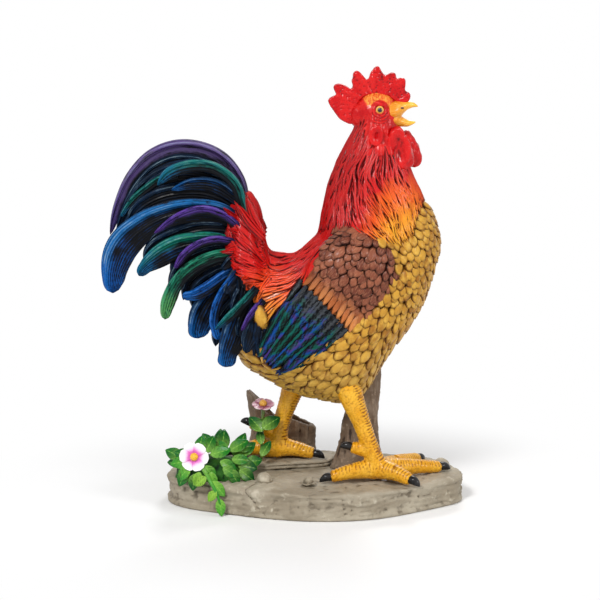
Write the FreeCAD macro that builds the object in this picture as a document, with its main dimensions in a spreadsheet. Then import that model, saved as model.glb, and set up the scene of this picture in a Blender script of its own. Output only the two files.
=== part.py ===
import FreeCAD, Part
import math
import os

# A cast rooster figure on a rock base, in millimetres, with +Z up and +X towards the beak.
# The origin is the centre of the base's flat underside.

SIZES = {
    "base_length": 244,
    "base_depth": 134,
    "base_thickness": 22,
    "base_edge_radius": 5,
    "ledge_length": 92,
    "ledge_depth": 46,
    "ledge_thickness": 6.6,
    "ledge_edge_radius": 2,
    "stone_size": 15,
    "leg_height": 62,
    "stance_width": 44,
    "shank_top_radius": 9.5,
    "shank_middle_radius": 7,
    "foot_length": 93,
    "toe_root_radius": 6.6,
    "toe_tip_radius": 4.2,
    "spur_length": 23,
    "claw_length": 8,
    "claw_point_radius": 0.6,
    "rod_diameter": 5,
    "rod_seat_depth": 14,
    "rod_torso_depth": 30,
    "glue_gap": 0.3,
    "torso_length": 160,
    "torso_height": 165,
    "torso_width": 88,
    "neck_length": 79,
    "neck_height": 102,
    "neck_width": 76,
    "strand_height": 2.2,
    "head_length": 36,
    "head_width": 26,
    "head_height": 34,
    "comb_length": 64,
    "comb_height": 44.6,
    "comb_thickness": 7,
    "upper_beak_length": 22,
    "upper_beak_height": 11,
    "upper_beak_width": 13,
    "lower_beak_length": 20,
    "lower_beak_height": 6,
    "lower_beak_width": 11,
    "eye_diameter": 6.8,
    "wattle_length": 34,
    "wattle_width": 19,
    "wattle_thickness": 8,
    "lobe_length": 15,
    "lobe_width": 10,
    "lobe_thickness": 8,
    "coverts_length": 76,
    "coverts_height": 62,
    "coverts_thickness": 34,
    "wing_feather_width": 44,
    "wing_feather_thickness": 14,
    "saddle_width": 38,
    "saddle_thickness": 16,
    "tail_root_length": 38,
    "tail_root_height": 92,
    "tail_root_width": 58,
    "tail_length": 125,
    "tail_height": 183,
    "tail_spread": 60,
    "tail_core_thickness": 10,
    "top_sickle_thickness": 13,
    "great_sickle_thickness": 9,
    "broad_feather_thickness": 8,
    "slim_feather_thickness": 5,
    "feather_point_radius": 1,
    "dowel_diameter": 6,
    "dowel_length": 44,
    "trunk_length": 48,
    "trunk_depth": 26,
    "stump_length": 60,
    "stump_depth": 28,
    "stump_height": 56,
    "stump_wall": 5,
    "foliage_length": 64,
    "foliage_depth": 40,
    "foliage_height": 22,
    "leaf_length": 22,
    "leaf_width": 12,
    "leaf_thickness": 1.6,
    "front_flower_diameter": 23,
    "rear_flower_diameter": 18,
    "petal_thickness": 1.8,
    "flower_centre_diameter": 6.5,
    "flower_centre_depth": 3,
    "calyx_length": 14,
    "stem_diameter": 3.2,
    "cut_overrun": 20,
}

OVAL_POINTS = 12
UP = FreeCAD.Vector(0, 0, 1)
ALONG = FreeCAD.Vector(1, 0, 0)
ACROSS = FreeCAD.Vector(0, 1, 0)

doc = FreeCAD.newDocument("rooster_figure")
sheet = doc.addObject("Spreadsheet::Sheet", "sizes")
for row, (alias, value) in enumerate(SIZES.items(), 1):
    sheet.set(f"A{row}", alias)
    sheet.set(f"B{row}", str(value))
    sheet.setAlias(f"B{row}", alias)
doc.recompute()

nodes = []


def size(alias):
    return float(getattr(sheet, alias))


def keep(label, piece):
    piece.Label = label
    nodes.append(piece)
    return piece


def fitted(label, blank, neighbours):
    """The blank, cut by each neighbour in turn, so that their faces meet."""
    result = blank
    for index, neighbour in enumerate(neighbours, 1):
        cut = doc.addObject("Part::Cut", f"{label}_cut_{index}")
        cut.Base = result
        cut.Tool = neighbour
        result = cut
    return keep(label, result)


def joined(name, pieces):
    fuse = doc.addObject("Part::MultiFuse", name)
    fuse.Shapes = pieces
    return fuse


def oval(centre, across, up, half_across, half_up):
    points = []
    for step in range(OVAL_POINTS):
        angle = 2 * math.pi * step / OVAL_POINTS
        points.append(centre + across * (half_across * math.cos(angle)) + up * (half_up * math.sin(angle)))
    curve = Part.BSplineCurve()
    curve.interpolate(Points=points, PeriodicFlag=True)
    return Part.Wire([curve.toShape()])


STRAND_POINTS = 4


def stranded_oval(centre, half_along, half_across, strands, half_height, sweep):
    """A level oval with the crests of raised strands round it, swept towards the front by an angle."""
    count = strands * STRAND_POINTS
    points = []
    for step in range(count):
        crest = half_height * math.cos(2 * math.pi * step / STRAND_POINTS)
        angle = 2 * math.pi * step / count
        angle -= sweep * math.sin(angle)
        points.append(centre + ALONG * ((half_along + crest) * math.cos(angle))
                      + ACROSS * ((half_across + crest) * math.sin(angle)))
    curve = Part.BSplineCurve()
    curve.interpolate(Points=points, PeriodicFlag=True)
    return Part.Wire([curve.toShape()])


def loft(name, sections):
    piece = doc.addObject("Part::Feature", name)
    piece.Shape = Part.makeLoft(sections, True)
    return piece


def directions(points):
    """The direction of the route at each of its points."""
    last = len(points) - 1
    return [(points[min(i + 1, last)] - points[max(i - 1, 0)]).normalize() for i in range(last + 1)]


def blade(name, points, half_widths, half_thicknesses):
    """A flat curved blade: wide in the upright plane, and thin across it."""
    sections = []
    for point, direction, wide, thin in zip(points, directions(points), half_widths, half_thicknesses):
        side = direction.cross(ACROSS).normalize()
        flat = side.cross(direction).normalize()
        sections.append(oval(point, side, flat, wide, thin))
    return loft(name, sections)


def limb(name, points, radii):
    return blade(name, points, radii, radii)


def taper(name, start, end, start_alias, end_alias):
    cone = doc.addObject("Part::Cone", name)
    cone.setExpression("Radius1", f"sizes.{start_alias}")
    cone.setExpression("Radius2", f"sizes.{end_alias}")
    cone.Height = (end - start).Length
    cone.Placement = FreeCAD.Placement(start, FreeCAD.Rotation(UP, end - start))
    return cone


def ball(name, centre, radius):
    sphere = doc.addObject("Part::Sphere", name)
    sphere.setExpression("Radius", f"sizes.{radius}")
    sphere.Placement.Base = centre
    return sphere


def rod(name, start, end, diameter_alias, gap_alias=None):
    cylinder = doc.addObject("Part::Cylinder", name)
    radius = f"sizes.{diameter_alias} / 2"
    if gap_alias:
        radius += f" + sizes.{gap_alias}"
    cylinder.setExpression("Radius", radius)
    cylinder.Height = (end - start).Length
    cylinder.Placement = FreeCAD.Placement(start, FreeCAD.Rotation(UP, end - start))
    return cylinder


def ellipsoid(name, centre, along_alias, across_alias, up_alias, turn=0):
    piece = doc.addObject("Part::Ellipsoid", name)
    piece.setExpression("Radius2", f"sizes.{along_alias} / 2")
    piece.setExpression("Radius3", f"sizes.{across_alias} / 2")
    piece.setExpression("Radius1", f"sizes.{up_alias} / 2")
    piece.Placement = FreeCAD.Placement(centre, FreeCAD.Rotation(ACROSS, turn))
    return piece


def padded_outline(name, role, points, depth_alias, both_ways=False):
    """A body with one closed smooth outline on an origin plane, padded to its thickness."""
    body = doc.addObject("PartDesign::Body", name)
    plane = next(part for part in body.Origin.OriginFeatures if part.Role == role)
    sketch = body.newObject("Sketcher::SketchObject", f"{name}_outline")
    sketch.AttachmentSupport = [(plane, "")]
    sketch.MapMode = "FlatFace"
    curve = Part.BSplineCurve()
    curve.interpolate(Points=points, PeriodicFlag=True)
    sketch.addGeometry(curve, False)
    pad = body.newObject("PartDesign::Pad", f"{name}_pad")
    pad.Profile = sketch
    pad.setExpression("Length", f"sizes.{depth_alias}")
    if both_ways:
        pad.SideType = "Symmetric"
    doc.recompute()
    return body


# Heights and places that the pieces share

base_top = size("base_thickness")
ledge_top = base_top + size("ledge_thickness")
torso_bottom = base_top + size("leg_height")
TORSO_REAR_SHARE = -0.3875
torso_rear = TORSO_REAR_SHARE * size("torso_length")
foot_side = size("stance_width") / 2

# The torso's profile, read from the photo: pixel column, lower row, upper row and half width share
TORSO_LEFT_PIXEL = 237
TORSO_RIGHT_PIXEL = 437
TORSO_BOTTOM_PIXEL = 398.5
TORSO_TOP_PIXEL = 195
TORSO_PIXELS = (
    (237, 344, 291, 0.25),
    (257, 369, 268, 0.375),
    (277, 381, 262, 0.43),
    (302, 392, 250.5, 0.47),
    (329.5, 398, 226, 0.5),
    (356, 397, 211, 0.5),
    (377, 367, 203, 0.465),
    (399.5, 335, 198, 0.4),
    (419.5, 305, 200, 0.29),
    (432, 268, 220, 0.16),
    (437, 251, 235, 0.06),
)


def body_x(column):
    share = (column - TORSO_LEFT_PIXEL) / (TORSO_RIGHT_PIXEL - TORSO_LEFT_PIXEL)
    return torso_rear + share * size("torso_length")


def body_z(row):
    share = (TORSO_BOTTOM_PIXEL - row) / (TORSO_BOTTOM_PIXEL - TORSO_TOP_PIXEL)
    return torso_bottom + share * size("torso_height")


# The seen side lies nearer the camera, which looks down, so a piece that stands out sits a little higher
VIEW_RISE_SHARE = 0.177


def on_body(column, row, y):
    """A point of the body seen at this pixel, this far out from the middle plane."""
    return FreeCAD.Vector(body_x(column), y, body_z(row) + VIEW_RISE_SHARE * abs(y))


def make_torso_blank():
    sections = []
    for column, low, high, width_share in TORSO_PIXELS:
        bottom = body_z(low)
        top = body_z(high)
        centre = FreeCAD.Vector(body_x(column), 0, (bottom + top) / 2)
        half_width = width_share * size("torso_width")
        sections.append(oval(centre, ACROSS, UP, half_width, (top - bottom) / 2))
    return loft("torso_blank", sections)


# The neck's level sections: pixel row, back column, front column and half width share
NECK_BOTTOM_PIXEL = 243.4
NECK_TOP_PIXEL = 117.8
NECK_BACK_PIXEL = 320.7
NECK_FRONT_PIXEL = 419.5
NECK_PIXELS = (
    (243.4, 320.7, 407, 0.5),
    (221, 323, 416, 0.474),
    (199, 327, 419.5, 0.408),
    (179.3, 332, 411, 0.349),
    (157, 341.4, 404, 0.29),
    (136.2, 352, 397, 0.23),
    (117.8, 361, 392, 0.178),
)

# The hackle's main strands stand round the neck, and sweep forward on their way down
HACKLE_STRANDS = 16
HACKLE_SWEEP = 0.5

neck_back = body_x(NECK_BACK_PIXEL)
neck_bottom = body_z(NECK_BOTTOM_PIXEL)


def neck_x(column):
    share = (column - NECK_BACK_PIXEL) / (NECK_FRONT_PIXEL - NECK_BACK_PIXEL)
    return neck_back + share * size("neck_length")


def neck_z(row):
    share = (NECK_BOTTOM_PIXEL - row) / (NECK_BOTTOM_PIXEL - NECK_TOP_PIXEL)
    return neck_bottom + share * size("neck_height")


def make_neck_blank():
    """The neck with its strands, and a smooth form just outside them."""
    sections = []
    outside_sections = []
    for index, (row, back, front, width_share) in enumerate(NECK_PIXELS):
        back_x = neck_x(back)
        front_x = neck_x(front)
        centre = FreeCAD.Vector((back_x + front_x) / 2, 0, neck_z(row))
        half_width = width_share * size("neck_width")
        half_height = width_share * size("strand_height")
        sweep = HACKLE_SWEEP * (1 - index / (len(NECK_PIXELS) - 1))
        half_length = (front_x - back_x) / 2
        sections.append(stranded_oval(centre, half_length, half_width, HACKLE_STRANDS, half_height, sweep))
        clear = half_height + size("glue_gap")
        outside_sections.append(oval(centre, ALONG, ACROSS, half_length + clear, half_width + clear))
    return loft("neck_blank", sections), loft("neck_outside", outside_sections)


# The head sits on the top of the neck, and carries the comb, beak, eyes, wattles and lobes
HEAD_COLUMN = 375
HEAD_ROW = 117.8
head_x = neck_x(HEAD_COLUMN)
head_z = neck_z(HEAD_ROW)
head_centre = FreeCAD.Vector(head_x, 0, head_z)

COMB_LEFT_PIXEL = 327.7
COMB_RIGHT_PIXEL = 407.5
COMB_TOP_PIXEL = 72.2
COMB_BOTTOM_PIXEL = 127
COMB_PIXELS = (
    (357, 126.8),
    (348, 126.6),
    (340, 122.6),
    (332.2, 113.6),
    (328, 104),
    (330.5, 101),
    (335.7, 99.8),
    (332.6, 92.5),
    (338, 88.6),
    (350.6, 93.7),
    (351.5, 80),
    (356, 76.3),
    (361, 81),
    (366, 85),
    (370.5, 77),
    (375.5, 72.2),
    (380.5, 77.5),
    (383.2, 81),
    (389, 77.8),
    (393, 80),
    (394.5, 84.5),
    (400, 83.1),
    (403, 87),
    (402.6, 94),
    (407.3, 98.3),
    (405.6, 105),
    (395, 107),
    (380, 112),
    (364, 121),
)


def make_comb_blank():
    columns = COMB_RIGHT_PIXEL - COMB_LEFT_PIXEL
    rows = COMB_BOTTOM_PIXEL - COMB_TOP_PIXEL
    points = []
    for column, row in COMB_PIXELS:
        x = (column - HEAD_COLUMN) / columns * size("comb_length")
        z = (HEAD_ROW - row) / rows * size("comb_height")
        points.append(FreeCAD.Vector(x, z, 0))
    body = padded_outline("comb_blank", "XZ_Plane", points, "comb_thickness", both_ways=True)
    body.Placement.Base = head_centre
    return body


# Beak: where it starts in the head, and for each section how far along, how thick and how raised it is
BEAK_START_SHARE = 0.27
BEAK_SECTION_SHARES = ((0, 1, 0), (0.38, 0.95, 0.3), (0.72, 0.55, 0.8), (1, 0.1, 1))
UPPER_BEAK_LEVEL_SHARE = 0.1
UPPER_BEAK_TIP_SHARE = 0.3
LOWER_BEAK_LEVEL_SHARE = -0.17
LOWER_BEAK_TIP_SHARE = 0


def make_beak_blank(name, prefix, level_share, tip_share):
    """One half of the beak, from inside the head to its point."""
    length = size(f"{prefix}_length")
    height = size(f"{prefix}_height")
    width = size(f"{prefix}_width")
    start_x = head_x + BEAK_START_SHARE * size("head_length")
    start_z = head_z + level_share * size("head_height")
    sections = []
    for along_share, thick_share, rise_share in BEAK_SECTION_SHARES:
        z = start_z + rise_share * tip_share * height
        centre = FreeCAD.Vector(start_x + along_share * length, 0, z)
        sections.append(oval(centre, ACROSS, UP, thick_share * width / 2, thick_share * height / 2))
    return loft(name, sections)


# The tail feathers fan out of a root on the rump, and lie in upright layers beside each other
TAIL_LEFT_PIXEL = 103
TAIL_RIGHT_PIXEL = 259
TAIL_TOP_PIXEL = 142.5
TAIL_BOTTOM_PIXEL = 368
tail_front = body_x(TAIL_RIGHT_PIXEL)
tail_bottom = body_z(TAIL_BOTTOM_PIXEL)


def tail_point(column, row, y):
    along_share = (TAIL_RIGHT_PIXEL - column) / (TAIL_RIGHT_PIXEL - TAIL_LEFT_PIXEL)
    up_share = (TAIL_BOTTOM_PIXEL - row) / (TAIL_BOTTOM_PIXEL - TAIL_TOP_PIXEL)
    x = tail_front - along_share * size("tail_length")
    z = tail_bottom + up_share * size("tail_height") + VIEW_RISE_SHARE * abs(y)
    return FreeCAD.Vector(x, y, z)


# Level sections of the tail's root: pixel row, left column, right column and half width share
TAIL_ROOT_LEFT_PIXEL = 226
TAIL_ROOT_RIGHT_PIXEL = 274
TAIL_ROOT_TOP_PIXEL = 194
TAIL_ROOT_BOTTOM_PIXEL = 306
TAIL_ROOT_PIXELS = (
    (306, 232, 274, 0.4),
    (286, 229, 272, 0.48),
    (262, 226, 270, 0.5),
    (240, 226, 263.5, 0.42),
    (222, 227, 262, 0.32),
    (206, 232, 257.5, 0.2),
    (194, 240, 250, 0.08),
)
TAIL_ROOT_STRANDS = 10


def make_tail_root_blank():
    columns = TAIL_ROOT_RIGHT_PIXEL - TAIL_ROOT_LEFT_PIXEL
    rows = TAIL_ROOT_BOTTOM_PIXEL - TAIL_ROOT_TOP_PIXEL
    front_x = body_x(TAIL_ROOT_RIGHT_PIXEL)
    low_z = body_z(TAIL_ROOT_BOTTOM_PIXEL)
    sections = []
    for row, left, right, width_share in TAIL_ROOT_PIXELS:
        left_x = front_x - (TAIL_ROOT_RIGHT_PIXEL - left) / columns * size("tail_root_length")
        right_x = front_x - (TAIL_ROOT_RIGHT_PIXEL - right) / columns * size("tail_root_length")
        z = low_z + (TAIL_ROOT_BOTTOM_PIXEL - row) / rows * size("tail_root_height")
        centre = FreeCAD.Vector((left_x + right_x) / 2, 0, z)
        half_width = width_share * size("tail_root_width")
        half_height = width_share * size("strand_height")
        sections.append(stranded_oval(centre, (right_x - left_x) / 2, half_width, TAIL_ROOT_STRANDS,
                                      half_height, 0))
    return loft("tail_root_blank", sections)


# The dark core between the feathers, seen from the side
TAIL_CORE_PIXELS = (
    (250, 215), (238, 186), (222, 168), (200, 160), (176, 160), (154, 170), (136, 188), (124, 212),
    (119, 238),
    (124, 262), (140, 262), (158, 262), (176, 264), (188, 282), (196, 302), (206, 322), (222, 330),
    (240, 318), (254, 290), (258, 250),
)

# Each feather: how far out its layer is, as a share of the tail's spread, its thickness, and its
# middle line from root to tip as pixel column, pixel row and half width in pixels
TAIL_FEATHERS = {
    "top_sickle": (0, "top_sickle_thickness", (
        (247, 215, 5), (238, 180, 7), (222, 162, 8.5), (200, 152.5, 9), (178, 151.5, 9),
        (155, 160, 8.5), (136, 178, 7), (122, 205, 5.5), (112, 235, 2.5))),
    "slim_green_feather": (0.135, "slim_feather_thickness", (
        (180, 178, 4), (166, 180.5, 4), (150, 190, 4), (134, 204, 3.5), (124, 218, 1.5))),
    "great_sickle": (0.167, "great_sickle_thickness", (
        (242, 226, 8), (222, 215, 11), (196, 212, 12), (168, 217, 13), (143, 230, 15),
        (125, 248, 16), (117, 268, 13), (115, 286, 7), (115, 293, 2))),
    "inner_teal_feather": (0.267, "slim_feather_thickness", (
        (247, 230, 5), (244, 208, 5.5), (235, 185, 5.5), (215, 171, 6), (190, 170, 6), (172, 177, 5.5),
        (161, 188, 2.5))),
    "inner_blue_feather": (0.158, "slim_feather_thickness", (
        (249, 211, 4.5), (235, 199, 6), (216, 187.5, 7), (195, 186, 6), (174, 192, 2))),
    "middle_purple_feather": (0.292, "slim_feather_thickness", (
        (244, 233, 4), (228, 219, 4.5), (206, 212, 5), (183, 218, 4.5), (157, 235, 1.5))),
    "middle_green_feather": (0.167, "broad_feather_thickness", (
        (242, 250, 6), (222, 243, 9), (200, 243, 11), (178, 248, 12), (160, 258, 11), (146, 269, 6),
        (141, 276, 2))),
    "short_purple_feather": (0.292, "slim_feather_thickness", (
        (238, 244, 4), (218, 241, 4.5), (200, 246, 4.5), (186, 257, 4.5), (177, 269, 2))),
    "low_green_feather": (0.31, "broad_feather_thickness", (
        (246, 258, 5), (226, 256, 6.5), (205, 262, 7), (187, 274, 7), (175, 290, 7), (169, 307, 6.5),
        (167, 319, 2.5))),
    "short_blue_feather": (0.3, "slim_feather_thickness", (
        (242, 268, 5), (226, 277, 6.5), (210, 288, 7), (196, 295, 6), (184, 296, 2))),
    "dark_lobe_feather": (0.167, "broad_feather_thickness", (
        (246, 275, 8), (226, 288, 11), (210, 303, 13), (202, 320, 13), (199, 333, 8), (199, 338, 3))),
    "bright_blue_feather": (0.408, "slim_feather_thickness", (
        (240, 272, 4), (226, 290, 4.5), (218, 308, 5), (216, 325, 4.5), (220, 339, 2))),
    "lowest_lobe_feather": (0.44, "broad_feather_thickness", (
        (252, 300, 9), (242, 318, 13), (235, 336, 13), (229, 354, 9), (227, 366, 2.5))),
    "teal_green_feather": (0.56, "slim_feather_thickness", (
        (258, 288, 4), (244, 304, 4.5), (230, 318, 4.5), (217, 329, 1.5))),
    "small_purple_feather": (0.56, "slim_feather_thickness", (
        (265, 300, 3.5), (253, 314, 4), (243, 330, 1.5))),
}
MIRRORED_FEATHERS = (
    "great_sickle",
    "inner_teal_feather",
    "middle_green_feather",
    "low_green_feather",
    "dark_lobe_feather",
    "lowest_lobe_feather",
)


def make_tail_core_blank():
    points = []
    for column, row in TAIL_CORE_PIXELS:
        place = tail_point(column, row, 0)
        points.append(FreeCAD.Vector(place.x, place.z, 0))
    return padded_outline("tail_core_blank", "XZ_Plane", points, "tail_core_thickness", both_ways=True)


def make_tail_feather(name, side, label, neighbours):
    out_share, thickness_alias, pixels = TAIL_FEATHERS[name]
    y = side * out_share * size("tail_spread")
    pixel_width = size("tail_length") / (TAIL_RIGHT_PIXEL - TAIL_LEFT_PIXEL)
    points = [tail_point(column, row, y) for column, row, half_width in pixels]
    half_widths = [half_width * pixel_width for column, row, half_width in pixels]
    half_thicknesses = [min(size(thickness_alias) / 2, half_width) for half_width in half_widths]
    half_thicknesses[-1] = size("feather_point_radius")
    return fitted(label, blade(f"{label}_blank", points, half_widths, half_thicknesses), neighbours)


# The base, in plan: shares of its length and depth
BASE_SHARES = (
    (-0.497, 0), (-0.46, -0.18), (-0.41, -0.25), (-0.3, -0.34), (-0.16, -0.44), (0.05, -0.5),
    (0.25, -0.41), (0.39, -0.25), (0.5, -0.05), (0.48, 0.14), (0.39, 0.34), (0.16, 0.49),
    (-0.08, 0.5), (-0.29, 0.43), (-0.44, 0.26),
)
LEDGE_SHARES = (
    (-0.5, -0.05), (-0.36, -0.42), (-0.1, -0.5), (0.2, -0.38), (0.46, -0.2), (0.5, 0.12),
    (0.3, 0.42), (0, 0.5), (-0.34, 0.42),
)


def make_slab(name, shares, length_alias, depth_alias, thickness_alias, place, radius_alias):
    points = [FreeCAD.Vector(x * size(length_alias), y * size(depth_alias), 0) for x, y in shares]
    body = padded_outline(name, "XY_Plane", points, thickness_alias)
    pad = body.Tip
    top = pad.Shape.BoundBox.ZMax
    names = [f"Edge{i}" for i, edge in enumerate(pad.Shape.Edges, 1) if edge.BoundBox.ZMin > top / 2]
    fillet = body.newObject("PartDesign::Fillet", f"{name}_fillet")
    fillet.Base = (pad, names)
    fillet.setExpression("Radius", f"sizes.{radius_alias}")
    body.Placement.Base = place
    return body


# Feet: where the foot joint is, and where each toe reaches from it, in shares of the foot's length
RIGHT_TOE_SHARES = ((-0.43, -0.11), (0.28, -0.2), (0.57, 0.24), (0.39, 0.52))
LEFT_TOE_SHARES = ((-0.38, 0), (0.355, -0.075), (0.28, 0.07))
RIGHT_FOOT_SHARE = 0.209
RIGHT_KNEE_SHARE = 0.119
LEFT_FOOT_SHARE = -0.131
LEFT_KNEE_SHARE = -0.066
FOOT_JOINT_RISE_SHARE = 1.6
FOOT_JOINT_BALL_SHARE = 1.25
SPUR_START_SHARE = 2
SPUR_LIFT_SHARE = 0.3


def make_foot(side_name, y, ground, foot_x, toe_shares, carriers, bore):
    """The toes and spur of one foot, cut by what they stand on, and their claws."""
    root = size("toe_root_radius")
    tip = size("toe_tip_radius")
    length = size("foot_length")
    joint = FreeCAD.Vector(foot_x, y, ground + FOOT_JOINT_RISE_SHARE * root)
    toes = [ball(f"{side_name}_foot_joint", joint, f"toe_root_radius * {FOOT_JOINT_BALL_SHARE}")]
    claws = []
    ends = []
    for x_share, y_share in toe_shares:
        ends.append((joint, FreeCAD.Vector(foot_x + x_share * length, y + y_share * length, ground + tip)))
    spur_start = joint + UP * (SPUR_START_SHARE * root)
    spur_reach = FreeCAD.Vector(-size("spur_length"), 0, SPUR_LIFT_SHARE * root)
    ends.append((spur_start, spur_start + spur_reach))
    for index, (start, end) in enumerate(ends, 1):
        toes.append(taper(f"{side_name}_toe_{index}", start, end, "toe_root_radius", "toe_tip_radius"))
        forward = (end - start).normalize()
        point = end + forward * size("claw_length")
        claws.append(taper(f"{side_name}_claw_{index}", end, point, "toe_tip_radius", "claw_point_radius"))
    toe_solid = fitted(f"{side_name}_toes", joined(f"{side_name}_toes_blank", toes), carriers + [bore])
    claw_group = doc.addObject("Part::Compound", f"{side_name}_claw_group")
    claw_group.Links = claws
    fitted(f"{side_name}_claws", claw_group, carriers)
    return toe_solid, joint


def leaf(name, centre, forward, facing):
    """A lens-shaped leaf, its length along forward and its flat side towards facing."""
    half_length = size("leaf_length") / 2
    half_width = size("leaf_width") / 2
    ends = (FreeCAD.Vector(-half_length, 0, 0), FreeCAD.Vector(half_length, 0, 0))
    upper = Part.Arc(ends[0], FreeCAD.Vector(0, half_width, 0), ends[1])
    lower = Part.Arc(ends[1], FreeCAD.Vector(0, -half_width, 0), ends[0])
    face = Part.Face(Part.Wire([upper.toShape(), lower.toShape()]))
    piece = doc.addObject("Part::Feature", name)
    piece.Shape = face.extrude(UP * size("leaf_thickness"))
    normal = FreeCAD.Vector(*facing).normalize()
    direction = FreeCAD.Vector(*forward)
    direction = (direction - normal * direction.dot(normal)).normalize()
    turn = FreeCAD.Rotation(direction, normal.cross(direction), normal, "XZY")
    piece.Placement = FreeCAD.Placement(centre, turn)
    return piece


# Leaves of the front cluster: place in shares of the foliage's length, depth and height, then the
# way that each points and the way that it faces
FRONT_LEAF_SHARES = (
    ((-0.3, -0.15, 0.95), (-0.6, 0.1, 0.8), (-0.3, -0.8, 0.6)),
    ((-0.44, -0.3, 0.45), (-1, 0, 0.1), (-0.2, -0.8, 0.7)),
    ((-0.25, -0.42, 0.3), (-0.5, -0.6, -0.1), (0, -0.6, 0.8)),
    ((0.08, 0.05, 1.35), (0.1, 0.1, 1), (0.1, -1, 0.3)),
    ((0.22, 0.08, 1.25), (0.5, 0.1, 0.9), (0.2, -1, 0.4)),
    ((0.38, 0.1, 1.0), (0.9, 0.1, 0.4), (0.1, -0.9, 0.6)),
    ((0.14, -0.36, 0.4), (0.3, -0.6, -0.5), (0.2, -0.9, 0.5)),
    ((0.27, -0.3, 0.2), (0.9, -0.4, -0.1), (0.2, -0.6, 0.8)),
)

FLOWER_PETALS = 6
PETAL_RING_SHARE = 0.29
PETAL_RADIUS_SHARE = 0.21


def make_flower(prefix, centre, facing, diameter_alias, stalk_end, carriers):
    """Petals round a centre that stands on a stalk."""
    normal = FreeCAD.Vector(*facing).normalize()
    stalk = rod(f"{prefix}_stalk", centre, stalk_end, "stem_diameter")
    button = rod(f"{prefix}_button", centre, centre + normal * size("flower_centre_depth"),
                 "flower_centre_diameter")
    middle = fitted(f"{prefix}_centre", joined(f"{prefix}_centre_blank", [stalk, button]), carriers)
    turn = FreeCAD.Rotation(UP, normal)
    discs = []
    for index in range(FLOWER_PETALS):
        angle = 2 * math.pi * index / FLOWER_PETALS
        spoke = FreeCAD.Vector(math.cos(angle), math.sin(angle), 0)
        spoke *= PETAL_RING_SHARE * size(diameter_alias)
        disc = doc.addObject("Part::Cylinder", f"{prefix}_petal_{index + 1}")
        disc.setExpression("Radius", f"sizes.{diameter_alias} * {PETAL_RADIUS_SHARE}")
        disc.setExpression("Height", "sizes.petal_thickness")
        disc.Placement = FreeCAD.Placement(centre + turn.multVec(spoke), turn)
        discs.append(disc)
    fitted(f"{prefix}_petals", joined(f"{prefix}_petals_blank", discs), [middle] + carriers)


def level_loft(name, stations):
    """Upright form from level ovals: centre x, centre y, height, half length and half depth."""
    sections = [oval(FreeCAD.Vector(x, y, z), ALONG, ACROSS, wide, deep) for x, y, z, wide, deep in stations]
    return loft(name, sections)


# Inner rods first: each stands in the base, runs up a leg and ends in the torso

right_foot_x = RIGHT_FOOT_SHARE * size("base_length")
left_foot_x = LEFT_FOOT_SHARE * size("base_length")
knee_z = torso_bottom + size("toe_root_radius")
right_knee = FreeCAD.Vector(RIGHT_KNEE_SHARE * size("base_length"), -foot_side, knee_z)
left_knee = FreeCAD.Vector(LEFT_KNEE_SHARE * size("base_length"), foot_side, knee_z)


def leg_line(foot_x, y, knee):
    """The ends of a leg's rod, on the line through the foot joint and the knee."""
    foot = FreeCAD.Vector(foot_x, y, base_top + FOOT_JOINT_RISE_SHARE * size("toe_root_radius"))
    forward = (knee - foot).normalize()
    low = foot - forward * ((foot.z - base_top + size("rod_seat_depth")) / forward.z)
    return low, knee + forward * size("rod_torso_depth")


right_low, right_high = leg_line(right_foot_x, -foot_side, right_knee)
left_low, left_high = leg_line(left_foot_x, foot_side, left_knee)
keep("right_leg_rod", rod("right_leg_rod", right_low, right_high, "rod_diameter"))
keep("left_leg_rod", rod("left_leg_rod", left_low, left_high, "rod_diameter"))
right_bore = rod("right_bore", right_low, right_high, "rod_diameter", "glue_gap")
left_bore = rod("left_bore", left_low, left_high, "rod_diameter", "glue_gap")

# Trunk, close behind the right foot: for each level, how far it leans, how high it is, and how wide, in
# shares of the trunk's half length, the leg's height and the trunk's size
TRUNK_BEHIND_FOOT_SHARE = 0.155
TRUNK_Y_SHARE = 0.11
TRUNK_SHARES = ((0, 0, 1, 1), (0, 0.2, 0.76, 0.8), (0.04, 0.58, 0.6, 0.7), (0.2, 1, 0.48, 0.66),
                (0.3, 1.45, 0.4, 0.6))
half_trunk = size("trunk_length") / 2
half_trunk_depth = size("trunk_depth") / 2
trunk_stations = []
for lean, rise, wide, deep in TRUNK_SHARES:
    trunk_x = right_foot_x - TRUNK_BEHIND_FOOT_SHARE * size("foot_length") + lean * half_trunk
    trunk_z = base_top + rise * size("leg_height")
    trunk_stations.append((trunk_x, TRUNK_Y_SHARE * size("base_depth"), trunk_z, wide * half_trunk,
                           deep * half_trunk_depth))
trunk_blank = level_loft("trunk_blank", trunk_stations)

# Base, ledge and stones

rock_blank = make_slab("rock_blank", BASE_SHARES, "base_length", "base_depth", "base_thickness",
                       FreeCAD.Vector(0, 0, 0), "base_edge_radius")
fitted("rock_base", rock_blank, [right_bore, left_bore])
LEDGE_PLACE_SHARES = (-0.115, 0.19)
ledge_place = FreeCAD.Vector(LEDGE_PLACE_SHARES[0] * size("base_length"),
                             LEDGE_PLACE_SHARES[1] * size("base_depth"), base_top)
ledge_blank = make_slab("ledge_blank", LEDGE_SHARES, "ledge_length", "ledge_depth", "ledge_thickness",
                        ledge_place, "ledge_edge_radius")
foot_ledge = fitted("foot_ledge", ledge_blank, [left_bore, trunk_blank])

STONE_SHARES = ((-0.165, -0.24), (-0.02, -0.27), (0.43, 0.1))
stones = []
for index, (x_share, y_share) in enumerate(STONE_SHARES, 1):
    stone_place = FreeCAD.Vector(x_share * size("base_length"), y_share * size("base_depth"), base_top)
    stones.append(ball(f"stone_{index}", stone_place, "stone_size / 2"))
stone_group = doc.addObject("Part::Compound", "stone_group")
stone_group.Links = stones
base_stones = fitted("base_stones", stone_group, [rock_blank, foot_ledge])

# Body

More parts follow.
